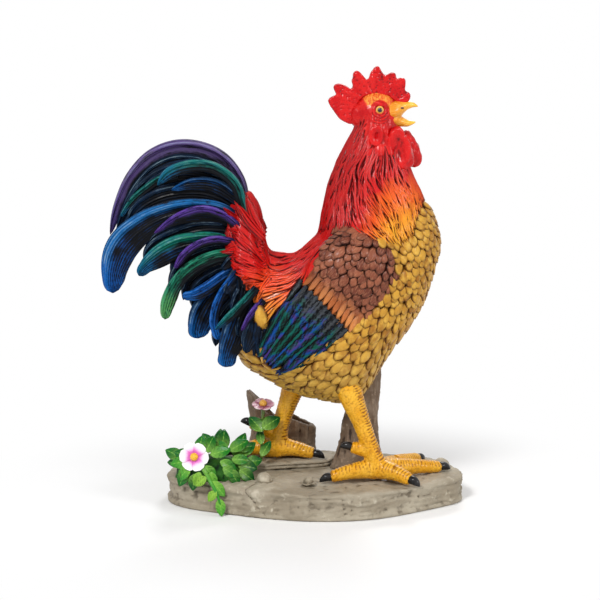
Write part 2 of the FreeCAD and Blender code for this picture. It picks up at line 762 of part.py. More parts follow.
torso_blank = make_torso_blank()
tail_root_blank = make_tail_root_blank()
DOWEL_START_PIXEL = (292, 262)
DOWEL_DIRECTION = FreeCAD.Vector(-0.85, 0, 0.1).normalize()
dowel_start = on_body(*DOWEL_START_PIXEL, 0)
dowel_end = dowel_start + DOWEL_DIRECTION * size("dowel_length")
keep("tail_dowel", rod("tail_dowel", dowel_start, dowel_end, "dowel_diameter"))
dowel_bore = rod("dowel_bore", dowel_start, dowel_end, "dowel_diameter", "glue_gap")
fitted("torso", torso_blank, [right_bore, left_bore, dowel_bore])
fitted("tail_root", tail_root_blank, [torso_blank, dowel_bore])
neck_blank, neck_outside = make_neck_blank()
fitted("neck", neck_blank, [torso_blank])

# Head

EYE_SHARES = (0.05, 0.42, 0.12)
eye_balls = []
for side_name, side in (("right", -1), ("left", 1)):
    eye_place = FreeCAD.Vector(head_x + EYE_SHARES[0] * size("head_length"),
                               side * EYE_SHARES[1] * size("head_width"),
                               head_z + EYE_SHARES[2] * size("head_height"))
    eye_balls.append(ball(f"{side_name}_eye", eye_place, "eye_diameter / 2"))
eye_pair = doc.addObject("Part::Compound", "eye_pair")
eye_pair.Links = eye_balls
keep("eyes", eye_pair)
head_blank = ellipsoid("head_blank", head_centre, "head_length", "head_width", "head_height")
head = fitted("head", head_blank, [neck_outside] + eye_balls)
comb = fitted("comb", make_comb_blank(), [head_blank, neck_outside])
upper_blank = make_beak_blank("upper_blank", "upper_beak", UPPER_BEAK_LEVEL_SHARE, UPPER_BEAK_TIP_SHARE)
upper_beak = fitted("upper_beak", upper_blank, [head_blank, comb])
lower_blank = make_beak_blank("lower_blank", "lower_beak", LOWER_BEAK_LEVEL_SHARE, LOWER_BEAK_TIP_SHARE)
lower_beak = fitted("lower_beak", lower_blank, [head_blank, upper_beak])

# The left wattle hangs a little further forward than the right one
WATTLE_SHARES = (("right", -1, 0.5, -0.76), ("left", 1, 0.72, -0.84))
WATTLE_OUT_SHARE = 0.34
WATTLE_TURN = -16
LOBE_SHARES = (-0.03, 0.6, -0.46)
for side_name, side, x_share, z_share in WATTLE_SHARES:
    wattle_place = FreeCAD.Vector(head_x + x_share * size("head_length"),
                                  side * WATTLE_OUT_SHARE * size("head_width"),
                                  head_z + z_share * size("head_height"))
    wattle = ellipsoid(f"{side_name}_wattle_blank", wattle_place, "wattle_width", "wattle_thickness",
                       "wattle_length", WATTLE_TURN)
    fitted(f"{side_name}_wattle", wattle, [head_blank, neck_outside, lower_beak])
    lobe_place = FreeCAD.Vector(head_x + LOBE_SHARES[0] * size("head_length"),
                                side * LOBE_SHARES[1] * size("head_width"),
                                head_z + LOBE_SHARES[2] * size("head_height"))
    lobe = ellipsoid(f"{side_name}_lobe_blank", lobe_place, "lobe_width", "lobe_thickness", "lobe_length")
    fitted(f"{side_name}_ear_lobe", lobe, [head_blank, neck_outside])

# Wings and saddle: pixel column, pixel row, and shares of the torso's width, the piece's width and thickness

WING_FEATHER_PIXELS = ((338, 297, 0.43, 0.5, 0.5), (315, 320, 0.46, 0.5, 0.5), (290, 343, 0.44, 0.36, 0.4),
                       (268, 364, 0.4, 0.15, 0.2))
SADDLE_PIXELS = ((300, 252, 0.18, 0.5, 0.6), (287, 275, 0.33, 0.43, 0.44), (276, 300, 0.4, 0.26, 0.3),
                 (266, 326, 0.41, 0.06, 0.12))


def make_flank(name, prefix, pixels, side):
    """A blade that lies along the torso's side, from its top to its tip."""
    points = [on_body(column, row, side * out * size("torso_width")) for column, row, out, w, t in pixels]
    half_widths = [w * size(f"{prefix}_width") for column, row, out, w, t in pixels]
    half_thicknesses = [t * size(f"{prefix}_thickness") for column, row, out, w, t in pixels]
    return blade(name, points, half_widths, half_thicknesses)


COVERTS_PIXEL = (350, 273)
COVERTS_OUT_SHARE = 0.386
COVERTS_TURN = -40
saddles = {}
for side_name, side in (("right", -1), ("left", 1)):
    coverts_place = on_body(*COVERTS_PIXEL, side * COVERTS_OUT_SHARE * size("torso_width"))
    coverts_blank = ellipsoid(f"{side_name}_coverts_blank", coverts_place, "coverts_length",
                              "coverts_thickness", "coverts_height", COVERTS_TURN)
    coverts = fitted(f"{side_name}_wing_coverts", coverts_blank, [torso_blank, neck_outside])
    feathers_blank = make_flank(f"{side_name}_wing_blank", "wing_feather", WING_FEATHER_PIXELS, side)
    fitted(f"{side_name}_wing_feathers", feathers_blank, [torso_blank, coverts_blank])
    saddle_blank = make_flank(f"{side_name}_saddle_blank", "saddle", SADDLE_PIXELS, side)
    saddles[side_name] = fitted(f"{side_name}_saddle", saddle_blank, [torso_blank, coverts_blank,
                                                                     feathers_blank, tail_root_blank])

# Tail

for feather_name in TAIL_FEATHERS:
    feather_side = "" if feather_name == "top_sickle" else "right_"
    carriers = [torso_blank, tail_root_blank, saddles["right"]]
    feather = make_tail_feather(feather_name, -1, f"{feather_side}{feather_name}", carriers)
    if feather_name == "top_sickle":
        top_sickle = feather
for feather_name in MIRRORED_FEATHERS:
    carriers = [torso_blank, tail_root_blank, saddles["left"]]
    make_tail_feather(feather_name, 1, f"left_{feather_name}", carriers)
core_carriers = [torso_blank, tail_root_blank, top_sickle, dowel_bore]
fitted("tail_core", make_tail_core_blank(), core_carriers)

# Legs and feet

fitted("tree_trunk", trunk_blank, [torso_blank])
right_toes, right_joint = make_foot("right", -foot_side, base_top, right_foot_x, RIGHT_TOE_SHARES,
                                    [rock_blank, trunk_blank], right_bore)
left_toes, left_joint = make_foot("left", foot_side, ledge_top, left_foot_x, LEFT_TOE_SHARES,
                                  [rock_blank, ledge_blank], left_bore)

SHANK_SHARES = (0, 0.5, 1, 1.3)
for side_name, joint, knee, toes, bore in (("right", right_joint, right_knee, right_toes, right_bore),
                                           ("left", left_joint, left_knee, left_toes, left_bore)):
    upward = knee - joint
    points = [joint + upward * share for share in SHANK_SHARES]
    radii = [size("shank_middle_radius"), size("shank_middle_radius"), size("shank_top_radius"),
             size("shank_top_radius")]
    shank = limb(f"{side_name}_shank_blank", points, radii)
    fitted(f"{side_name}_shank", shank, [torso_blank, toes, bore])

# Stump: the height share and the size share of each level of its outside

STUMP_PLACE_SHARES = (-0.107, 0.375)
STUMP_OUTER_SHARES = ((0, 1), (0.5, 0.89), (1, 1))
HOLLOW_FLOOR_WALLS = 2
NOTCH_SHARES = (-0.275, 0.8)
NOTCH_TURN = 24
stump_x = STUMP_PLACE_SHARES[0] * size("base_length")
stump_y = STUMP_PLACE_SHARES[1] * size("base_depth")
half_stump = size("stump_length") / 2
half_stump_depth = size("stump_depth") / 2
wall = size("stump_wall")
stump_top = base_top + size("stump_height")
stump_blank = level_loft("stump_blank", [
    (stump_x, stump_y, base_top + rise * size("stump_height"), share * half_stump, share * half_stump_depth)
    for rise, share in STUMP_OUTER_SHARES])
waist_share = min(share for rise, share in STUMP_OUTER_SHARES)
hollow = level_loft("stump_hollow", (
    (stump_x, stump_y, base_top + HOLLOW_FLOOR_WALLS * wall, waist_share * half_stump - wall,
     waist_share * half_stump_depth - wall),
    (stump_x, stump_y, stump_top + size("cut_overrun"), half_stump - wall, half_stump_depth - wall),
))
notch = doc.addObject("Part::Box", "stump_notch")
notch.setExpression("Length", "sizes.stump_length")
notch.setExpression("Width", "sizes.stump_depth * 2")
notch.setExpression("Height", "sizes.stump_height")
notch_place = FreeCAD.Vector(stump_x + NOTCH_SHARES[0] * size("stump_length"), stump_y - size("stump_depth"),
                             base_top + NOTCH_SHARES[1] * size("stump_height"))
notch.Placement = FreeCAD.Placement(notch_place, FreeCAD.Rotation(ACROSS, NOTCH_TURN))
fitted("hollow_stump", stump_blank, [hollow, notch, torso_blank, foot_ledge])

# Leaves, vine and flowers

FOLIAGE_PLACE_SHARES = (-0.336, -0.06)
foliage_centre = FreeCAD.Vector(FOLIAGE_PLACE_SHARES[0] * size("base_length"),
                                FOLIAGE_PLACE_SHARES[1] * size("base_depth"), base_top)
mound = doc.addObject("Part::Ellipsoid", "foliage_mound")
mound.setExpression("Radius2", "sizes.foliage_length / 2")
mound.setExpression("Radius3", "sizes.foliage_depth / 2")
mound.setExpression("Radius1", "sizes.foliage_height")
mound.Placement.Base = foliage_centre
leaves = [mound]
for index, (place, forward, facing) in enumerate(FRONT_LEAF_SHARES, 1):
    leaf_place = foliage_centre + FreeCAD.Vector(place[0] * size("foliage_length"),
                                                 place[1] * size("foliage_depth"),
                                                 place[2] * size("foliage_height"))
    leaves.append(leaf(f"front_leaf_{index}", leaf_place, forward, facing))
leaf_carriers = [rock_blank, foot_ledge, left_toes]
front_leaves = fitted("front_leaves", joined("front_leaves_blank", leaves), leaf_carriers)

VINE_SHARES = ((-0.35, -0.2, 1.1), (-0.335, -0.31, 1.08), (-0.318, -0.37, 0.6), (-0.305, -0.36, 0.2))
VINE_UPPER_LEAF_DIRECTION = (0.4, -0.1, -0.9)
VINE_LOWER_LEAF_DIRECTION = (0.1, 0, -0.4)
VINE_LEAF_FACING = (0.1, -1, 0.15)
vine_points = [FreeCAD.Vector(x * size("base_length"), y * size("base_depth"), z * size("base_thickness"))
               for x, y, z in VINE_SHARES]
vine_radius = size("stem_diameter") / 2
stem = limb("vine_stem_blank", vine_points, [vine_radius] * len(vine_points))
lower_leaf_place = vine_points[3] + UP * (size("leaf_width") / 2)
vine_leaves = [
    leaf("vine_leaf_upper", vine_points[2], VINE_UPPER_LEAF_DIRECTION, VINE_LEAF_FACING),
    leaf("vine_leaf_lower", lower_leaf_place, VINE_LOWER_LEAF_DIRECTION, VINE_LEAF_FACING),
]
fitted("vine", joined("vine_blank", [stem] + vine_leaves), [rock_blank, front_leaves])

FRONT_FLOWER_SHARES = (-0.206, -0.637, 1)
FRONT_FLOWER_FACING = (-0.05, -1, 0.25)
CALYX_DIRECTION = FreeCAD.Vector(0.15, 0.9, -0.35).normalize()
front_flower = foliage_centre + FreeCAD.Vector(FRONT_FLOWER_SHARES[0] * size("foliage_length"),
                                               FRONT_FLOWER_SHARES[1] * size("foliage_depth"),
                                               FRONT_FLOWER_SHARES[2] * size("foliage_height"))
make_flower("front_flower", front_flower, FRONT_FLOWER_FACING, "front_flower_diameter",
            front_flower + CALYX_DIRECTION * size("calyx_length"), [front_leaves])

REAR_FLOWER_SHARES = (-0.17, 0.06, 0.86)
REAR_FLOWER_FACING = (0, -0.3, 1)
rear_flower = FreeCAD.Vector(REAR_FLOWER_SHARES[0] * size("base_length"),
                             REAR_FLOWER_SHARES[1] * size("base_depth"),
                             base_top + REAR_FLOWER_SHARES[2] * size("leg_height"))
make_flower("rear_flower", rear_flower, REAR_FLOWER_FACING, "rear_flower_diameter",
            FreeCAD.Vector(rear_flower.x, rear_flower.y, base_top), leaf_carriers)

doc.recompute()

# Check, then write one file for each piece

failed = [piece.Name for piece in doc.Objects if "Invalid" in piece.State or "Error" in piece.State]
if failed:
    raise RuntimeError(f"failed objects: {failed}")
bad = [piece.Label for piece in nodes if piece.Shape.isNull() or not piece.Shape.isValid()]
if bad:
    raise RuntimeError(f"bad shapes: {bad}")
os.makedirs("parts", exist_ok=True)
for piece in nodes:
    piece.Shape.exportStep(f"parts/{piece.Label}.step")
    print(piece.Label, len(piece.Shape.Solids), round(piece.Shape.Volume, 1))
print(len(nodes), "nodes")
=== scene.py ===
import math
import random

import bpy
import numpy as np
from mathutils import Matrix, Vector, noise
from mathutils.bvhtree import BVHTree


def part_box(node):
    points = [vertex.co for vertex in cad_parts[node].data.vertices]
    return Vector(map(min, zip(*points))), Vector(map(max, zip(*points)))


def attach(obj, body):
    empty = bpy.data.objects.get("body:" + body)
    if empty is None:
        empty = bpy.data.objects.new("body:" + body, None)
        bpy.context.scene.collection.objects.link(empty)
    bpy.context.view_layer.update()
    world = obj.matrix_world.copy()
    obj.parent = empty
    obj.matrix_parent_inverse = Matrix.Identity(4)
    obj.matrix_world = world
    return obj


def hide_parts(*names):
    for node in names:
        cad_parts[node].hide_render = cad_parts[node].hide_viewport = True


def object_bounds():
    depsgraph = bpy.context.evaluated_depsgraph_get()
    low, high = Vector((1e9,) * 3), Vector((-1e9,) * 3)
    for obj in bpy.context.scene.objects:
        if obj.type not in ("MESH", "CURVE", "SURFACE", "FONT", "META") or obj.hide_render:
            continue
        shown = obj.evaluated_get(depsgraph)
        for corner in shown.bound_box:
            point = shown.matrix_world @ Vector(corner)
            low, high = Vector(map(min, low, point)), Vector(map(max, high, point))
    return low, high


# A cast rooster figure on a rock base, in metres: +Z up, +X towards the beak, -Y towards its right side.
# Outlines and strokes are in pixels of a side view, in which a pixel is PIXEL metres wide.

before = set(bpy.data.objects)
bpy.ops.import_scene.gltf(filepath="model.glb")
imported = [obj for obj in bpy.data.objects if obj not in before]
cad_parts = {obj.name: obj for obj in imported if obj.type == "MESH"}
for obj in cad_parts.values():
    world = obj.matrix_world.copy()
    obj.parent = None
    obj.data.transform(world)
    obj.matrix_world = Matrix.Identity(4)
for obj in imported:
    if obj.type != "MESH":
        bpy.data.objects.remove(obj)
cad_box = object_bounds()

PIXEL = 0.0008
ROW_RISE = 0.000811
MIDDLE_PIXEL = 314.5
GROUND_PIXEL = 502.1
VIEW_RISE_SHARE = 0.177
SIDES = (("right", -1), ("left", 1))


def seen(column, row, y=0.0):
    """The point that shows at this pixel, this far out from the middle plane."""
    z = (GROUND_PIXEL - row) * ROW_RISE + VIEW_RISE_SHARE * abs(y)
    return Vector(((column - MIDDLE_PIXEL) * PIXEL, y, z))


def pixel_of(point):
    """The pixel at which a point shows."""
    row = GROUND_PIXEL - (point.z - VIEW_RISE_SHARE * abs(point.y)) / ROW_RISE
    return MIDDLE_PIXEL + point.x / PIXEL, row


def limited(value, low=0.0, high=1.0):
    return max(low, min(high, value))


def eased(value, low, high):
    """0 below low, 1 above high, and smooth between them."""
    share = limited((value - low) / (high - low))
    return share * share * (3 - 2 * share)


# Working on meshes

def select_only(*objects):
    bpy.ops.object.select_all(action="DESELECT")
    for obj in objects:
        obj.select_set(True)
    bpy.context.view_layer.objects.active = objects[0]


def modified(obj, kind, **settings):
    """Adds a modifier with these settings and applies it."""
    select_only(obj)
    modifier = obj.modifiers.new(kind.title(), kind)
    for key, value in settings.items():
        setattr(modifier, key, value)
    bpy.ops.object.modifier_apply(modifier=modifier.name)
    return obj


def edited(obj, *steps):
    """Runs edit-mode operators, each given with its settings, on the whole mesh."""
    select_only(obj)
    bpy.ops.object.mode_set(mode="EDIT")
    bpy.ops.mesh.select_all(action="SELECT")
    for step, settings in steps:
        step(**settings)
    bpy.ops.object.mode_set(mode="OBJECT")
    return obj


MERGE = (bpy.ops.mesh.remove_doubles, {"threshold": 0.00001})
OUTWARD = (bpy.ops.mesh.normals_make_consistent, {"inside": False})


def joined(objects):
    if len(objects) > 1:
        select_only(*objects)
        bpy.ops.object.join()
    return objects[0]


def copy_of(*nodes):
    """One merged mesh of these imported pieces."""
    copies = []
    for node in nodes:
        obj = bpy.data.objects.new(f"{node}_form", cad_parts[node].data.copy())
        bpy.context.scene.collection.objects.link(obj)
        obj.data.materials.clear()
        copies.append(obj)
    return edited(joined(copies), MERGE)


def remeshed(obj, voxel, rounds):
    modified(obj, "REMESH", mode="VOXEL", voxel_size=voxel)
    if rounds:
        modified(obj, "SMOOTH", factor=0.5, iterations=rounds)
    return obj


def sculpted(obj, change):
    """Moves each point along its normal by what change says, and keeps its relief, from 0 low to 1 raised."""
    mesh = obj.data
    answers = [change(vertex.co.copy(), vertex.normal.copy()) for vertex in mesh.vertices]
    relief = mesh.attributes.new("relief", "FLOAT", "POINT")
    relief.data.foreach_set("value", [answer[1] for answer in answers])
    normals = [vertex.normal.copy() for vertex in mesh.vertices]
    for vertex, normal, answer in zip(mesh.vertices, normals, answers):
        vertex.co += normal * answer[0]
    return obj


def piece(obj, name, slot, material, *nodes):
    """Names a finished piece, gives it its material and sets it on the body in place of these nodes."""
    obj.name = name
    obj.data.materials.clear()
    obj.data.materials.append(material)
    obj.data.polygons.foreach_set("use_smooth", [True] * len(obj.data.polygons))
    obj.data.update()
    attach(obj, "root")
    if nodes:
        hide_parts(*nodes)
    return obj


class Rings:
    """Gathers closed forms, each made of rings of points, into one mesh with a UV map, tones and relief."""

    def __init__(self):
        self.points = []
        self.faces = []
        self.corners = []
        self.tones = []
        self.relief = []

    def add(self, rings, across, tone=0.5, relief=None, wrap=None):
        """across holds the U of each point of a ring, and wrap the U at which a round ring closes."""
        first = len(self.points)
        count = len(across)
        last = len(rings) - 1
        ends = list(across[1:]) + [across[0] if wrap is None else wrap]
        for index, ring in enumerate(rings):
            self.points.extend(ring)
            self.tones.extend([tone] * count)
            self.relief.extend(relief[index] if relief else [0.5] * count)
        for index in range(last):
            low, high = index / last, (index + 1) / last
            for k in range(count):
                a = first + index * count + k
                b = first + index * count + (k + 1) % count
                self.faces.append((a, b, b + count, a + count))
                self.corners.extend(((across[k], low), (ends[k], low), (ends[k], high), (across[k], high)))
        for start, along in ((first, 0), (first + last * count, 1)):
            self.faces.append(tuple(range(start, start + count)))
            self.corners.extend((u, along) for u in across)

    def made(self):
        mesh = bpy.data.meshes.new("rings")
        mesh.from_pydata(self.points, [], self.faces)
        layer = mesh.uv_layers.new(name="UVMap")
        layer.data.foreach_set("uv", [value for corner in self.corners for value in corner])
        for name, values in (("tone", self.tones), ("relief", self.relief)):
            mesh.attributes.new(name, "FLOAT", "POINT").data.foreach_set("value", values)
        obj = bpy.data.objects.new("rings", mesh)
        bpy.context.scene.collection.objects.link(obj)
        return edited(obj, OUTWARD)


def smooth_line(points, count):
    """Evenly spaced points on a smooth curve through these, which may carry more values than three."""
    knots = np.array([tuple(point) for point in points], float)
    steps = np.linalg.norm(np.diff(knots[:, :3], axis=0), axis=1)
    places = np.concatenate(([0], np.cumsum(steps)))
    slopes = np.gradient(knots, places, axis=0)
    wanted = np.linspace(0, places[-1], count)
    found = []
    for place in wanted:
        k = min(int(np.searchsorted(places, place, side="right")) - 1, len(places) - 2)
        span = places[k + 1] - places[k]
        t = (place - places[k]) / span
        found.append((2 * t**3 - 3 * t**2 + 1) * knots[k] + (t**3 - 2 * t**2 + t) * span * slopes[k]
                     + (3 * t**2 - 2 * t**3) * knots[k + 1] + (t**3 - t**2) * span * slopes[k + 1])
    return found


# Feathers are laid on a smooth form of the whole body

class Surface:
    def __init__(self, obj):
        self.points = [vertex.co.copy() for vertex in obj.data.vertices]
        self.normals = [vertex.normal.copy() for vertex in obj.data.vertices]
        self.faces = [tuple(polygon.vertices) for polygon in obj.data.polygons]
        self.areas = [polygon.area for polygon in obj.data.polygons]
        self.tree = BVHTree.FromPolygons(self.points, self.faces)

    def at(self, point):
        """The nearest place on the surface, and its smooth normal."""
        nearest = self.tree.find_nearest(point)
        place, index = nearest[0], nearest[2]
        normal = Vector()
        for corner in self.faces[index]:
            normal += self.normals[corner] / ((self.points[corner] - place).length + 0.0002)
        return place, normal.normalized()

    def touch(self, column, row, side):
        """Where the surface shows at this pixel, seen from this side."""
        y = 0.03
        for attempt in range(5):
            start = seen(column, row, y)
            start.y = side * 0.2
            hit = self.tree.ray_cast(start, Vector((0, -side, 0)))[0]
            if hit is None:
                return self.at(seen(column, row, side * y))[0]
            y = abs(hit.y)
        return hit


def within(outline, column, row):
    inside = False
    for (c0, r0), (c1, r1) in zip(outline, outline[1:] + outline[:1]):
        if (r0 > row) != (r1 > row) and column < c0 + (row - r0) / (r1 - r0) * (c1 - c0):
            inside = not inside
    return inside


class Flow:
    """Which way feathers point, led by strokes drawn over the side view."""

    STEP = 6

    def __init__(self, *strokes):
        places, ways = [], []
        for stroke in strokes:
            for start, end in zip(stroke, stroke[1:]):
                start, end = np.array(start, float), np.array(end, float)
                length = np.linalg.norm(end - start)
                count = max(1, int(length / self.STEP))
                for k in range(count):
                    places.append(start + (end - start) * (k + 0.5) / count)
                    ways.append((end - start) / length)
        self.places = np.array(places)
        self.ways = np.array(ways)

    def at(self, point, normal):
        gaps = ((self.places - pixel_of(point)) ** 2).sum(1)
        weights = 1 / (gaps + 12) ** 2
        way = (self.ways * weights[:, None]).sum(0)
        heading = Vector((way[0], 0, -way[1]))
        return (heading - normal * heading.dot(normal)).normalized()


def walk(surface, flow, start, length, steps, area=None, sway=0.0, turns=1.0, phase=0.0):
    """Places, normals and headings of a line that follows the flow, and ends where it leaves the area."""
    place, normal = surface.at(start)
    trail = []
    for step in range(steps + 1):
        heading = flow.at(place, normal)
        bend = sway * math.cos(phase + 2 * math.pi * turns * step / steps)
        heading = Matrix.Rotation(bend, 3, normal) @ heading
        trail.append((place, normal, heading))
        place, normal = surface.at(place + heading * (length / steps))
        if area and step > 2 and not within(area, *pixel_of(place)):
            break
    return trail


def trail_of(surface, pixels, side, count):
    """The same along a line that is drawn over the side view."""
    touched = [surface.touch(column, row, side) for column, row in pixels]
    places = [surface.at(Vector(point)) for point in smooth_line(touched, count)]
    trail = []
    for index, (place, normal) in enumerate(places):
        ahead = places[min(index + 1, count - 1)][0] - places[max(index - 1, 0)][0]
        trail.append((place, normal, (ahead - normal * ahead.dot(normal)).normalized()))
    return trail


def lay(rings, surface, trail, half_width, across, shape, lift, crown, pattern, tone, sink=0.0008):
    """Adds one feather along the trail. lift raises it from root to tip, and pattern, from 0 to 1, is how
    much of the crown stands on it at each place across and along."""
    last = len(trail) - 1
    marks = [2 * k / (across - 1) - 1 for k in range(across)]
    loops, relief = [], []
    for index, (place, normal, heading) in enumerate(trail):
        share = index / last
        side = normal.cross(heading)
        reach = half_width * shape(share)
        loop, raised = [], []
        for mark in marks:
            spot, up = surface.at(place + side * (mark * reach))
            amount = pattern(mark, share)
            loop.append(spot + up * (lift(share) * (1 - 0.3 * mark * mark) + crown * amount))
            raised.append(amount)
        loops.append(loop + [place - normal * sink])
        relief.append(raised + [0.0])
    rings.add(loops, [(mark + 1) / 2 for mark in marks] + [0.5], tone, relief)


def spread(surface, spacing, wanted, seed):
    """Places on the surface where wanted agrees, none nearer to another than the spacing."""
    chooser = random.Random(seed)
    tries = int(24 * sum(surface.areas) / spacing**2)
    cells, found = {}, []
    for index in chooser.choices(range(len(surface.faces)), weights=surface.areas, k=tries):
        corners = surface.faces[index]
        shares = [chooser.random() for corner in corners]
        place = sum((surface.points[c] * share for c, share in zip(corners, shares)), Vector()) / sum(shares)
        if not wanted(place, surface.normals[corners[0]]):
            continue
        cell = tuple(math.floor(value / spacing) for value in place)
        near = (other for x in (-1, 0, 1) for y in (-1, 0, 1) for z in (-1, 0, 1)
                for other in cells.get((cell[0] + x, cell[1] + y, cell[2] + z), ()))
        if any((other - place).length < spacing for other in near):
            continue
        cells.setdefault(cell, []).append(place)
        found.append(place)
    return found


# Materials

def rgb(red, green, blue):
    """A colour as a paint chart gives it, from 0 to 255, in the renderer's own scale."""
    values = [value / 255 for value in (red, green, blue)]
    linear = [value / 12.92 if value < 0.04045 else ((value + 0.055) / 1.055) ** 2.4 for value in values]
    return (*linear, 1.0)


class Value:
    """A socket of a material, on which arithmetic adds Math nodes."""

    def __init__(self, paint, socket):
        self.paint = paint
        self.socket = socket

    def math(self, operation, first, second):
        return self.paint.node("ShaderNodeMath", {"operation": operation}, {0: first, 1: second})

    def __add__(self, other):
        return self.math("ADD", self, other)

    __radd__ = __add__

    def __sub__(self, other):
        return self.math("SUBTRACT", self, other)

    def __rsub__(self, other):
        return self.math("SUBTRACT", other, self)

    def __mul__(self, other):
        return self.math("MULTIPLY", self, other)

    __rmul__ = __mul__


class Paint:
    """One procedural material, built node by node. Its constants are set on the shader's own sockets."""

    def __init__(self, name, **constants):
        self.material = bpy.data.materials.new(name)
        self.material.use_nodes = True
        self.tree = self.material.node_tree
        self.shader = self.tree.nodes["Principled BSDF"]
        for key, value in constants.items():
            self.shader.inputs[key.replace("_", " ")].default_value = value

    def node(self, kind, settings, sockets, output=0):
        made = self.tree.nodes.new(kind)
        for key, value in settings.items():
            if key == "stops":
                elements = made.color_ramp.elements
                elements.remove(elements[-1])
                elements[0].position, elements[0].color = value[0]
                for place, colour in value[1:]:
                    elements.new(place).color = colour
            else:
                setattr(made, key, value)
        for key, value in sockets.items():
            if isinstance(value, Value):
                self.tree.links.new(value.socket, made.inputs[key])
            else:
                made.inputs[key].default_value = value
        return Value(self, made.outputs[output])

    def place(self):
        return self.node("ShaderNodeTexCoord", {}, {}, "Object")

    def uv(self):
        return self.node("ShaderNodeTexCoord", {}, {}, "UV")

    def attribute(self, name):
        return self.node("ShaderNodeAttribute", {"attribute_name": name}, {}, "Fac")

    def part(self, vector, axis):
        return self.node("ShaderNodeSeparateXYZ", {}, {0: vector}, axis)

    def scaled(self, vector, *scale):
        return self.node("ShaderNodeMapping", {}, {"Vector": vector, "Scale": scale})

    def vector(self, x, y, z):
        return self.node("ShaderNodeCombineXYZ", {}, {0: x, 1: y, 2: z})

    def noise(self, vector, scale, detail=3.0, rough=0.55):
        sockets = {"Vector": vector, "Scale": scale, "Detail": detail, "Roughness": rough}
        return self.node("ShaderNodeTexNoise", {}, sockets)

    def mix(self, factor, first, second):
        return self.node("ShaderNodeMix", {"data_type": "RGBA"}, {0: factor, 6: first, 7: second}, 2)

    def ramp(self, factor, *stops):
        return self.node("ShaderNodeValToRGB", {"stops": stops}, {0: factor})

    def ease(self, value, low, high, start=0.0, end=1.0):
        sockets = {"Value": value, "From Min": low, "From Max": high, "To Min": start, "To Max": end}
        return self.node("ShaderNodeMapRange", {"interpolation_type": "SMOOTHSTEP"}, sockets)

    def roughness(self, grain, low, high):
        """Roughness between these two, as the grain goes."""
        return self.ease(grain, 0.3, 0.7, low, high)

    def gap(self, vector, centre, *scale):
        """How far a place lies from the centre, in units that differ along each axis."""
        away = self.node("ShaderNodeVectorMath", {"operation": "SUBTRACT"}, {0: vector, 1: centre})
        away = self.node("ShaderNodeVectorMath", {"operation": "MULTIPLY"}, {0: away, 1: scale})
        return self.node("ShaderNodeVectorMath", {"operation": "LENGTH"}, {0: away}, "Value")

    def bump(self, height, depth, strength=1.0):
        return self.node("ShaderNodeBump", {}, {"Height": height, "Distance": depth, "Strength": strength})

    def done(self, **links):
        for key, value in links.items():
            self.tree.links.new(value.socket, self.shader.inputs[key.replace("_", " ")])
        return self.material


# Varnishes on the shader's own sockets, thin on dark paint so that it stays dark

VARNISH = {"Coat_Weight": 0.1, "Coat_Roughness": 0.12, "Specular_IOR_Level": 0.14}
GLOSSY_VARNISH = {"Coat_Weight": 0.17, "Coat_Roughness": 0.09, "Specular_IOR_Level": 0.18}
SKIN_VARNISH = {"Coat_Weight": 0.16, "Coat_Roughness": 0.1, "Specular_IOR_Level": 0.16}
DARK_VARNISH = {"Coat_Weight": 0.06, "Coat_Roughness": 0.12, "Specular_IOR_Level": 0.08}


def feather_paint(name, colour, painted_shade_colour, streaks=9.0, painted_shade_span=(0.02, 0.5), rough=0.36,
                  varnish=VARNISH):
    """Varnished paint on feathers: fine barbs along each, light wear on them, and painted shade in a dark
    colour on the low places between them and at their roots.
    """
    paint = Paint(name, **varnish)
    uv = paint.uv()
    tone = paint.attribute("tone")
    relief = paint.attribute("relief")
    lines = paint.vector(paint.part(uv, "X") * streaks, paint.part(uv, "Y") * 1.6, tone * 37)
    barbs = paint.noise(lines, 2.2, 4.0, 0.6)
    mottle = paint.noise(paint.place(), 170, 3.0)
    main = colour(paint, tone, barbs, mottle)
    wear = paint.ease(barbs + relief * 0.35 + mottle * 0.25, 0.5, 0.85)
    # Painted shade: the low places of the relief, between the feathers and at their roots, take the dark
    # colour
    main = paint.mix(paint.ease(relief + barbs * 0.35 - 0.17, *painted_shade_span), painted_shade_colour, main)
    rough_value = paint.ease(barbs, 0.3, 0.75, rough + 0.08, rough - 0.08)
    height = barbs + wear * 0.3 + mottle * 0.3
    return paint.done(Base_Color=main, Roughness=rough_value, Normal=paint.bump(height, 0.0007, 0.55))


def position_blend(paint, centre, reach, *stops):
    """Colours by how far a place lies from the centre, as if blended on with a wide brush."""
    place = paint.place()
    away = paint.gap(place, centre, *[1 / size for size in reach])
    blotch = paint.noise(place, 90, 3.0)
    return paint.ramp(away * 0.5 + (blotch - 0.5) * 0.22, *stops)


def breast_colour(paint, tone, barbs, mottle):
    deep = paint.mix(tone, rgb(152, 98, 28), rgb(204, 152, 54))
    main = paint.mix(paint.ease(mottle, 0.4, 0.75), deep, rgb(216, 170, 72))
    low = paint.ease(paint.part(paint.place(), "Z"), 0.085, 0.15)
    return paint.mix(low, paint.mix(0.35, main, rgb(196, 170, 90)), main)


def covert_colour(paint, tone, barbs, mottle):
    brown = paint.mix(tone, rgb(98, 46, 32), rgb(144, 82, 58))
    tan = paint.mix(tone, rgb(178, 94, 40), rgb(214, 140, 74))
    place = paint.place()
    down = paint.part(place, "X") * 0.62 + paint.part(place, "Z") * 0.78
    edge = paint.ease(down + (mottle - 0.5) * 0.012, 0.134, 0.154)
    main = paint.mix(edge, tan, brown)
    # Painted highlight: light streaks along the barbs
    return paint.mix(paint.ease(barbs, 0.45, 0.75) * 0.5, main, rgb(190, 134, 100))


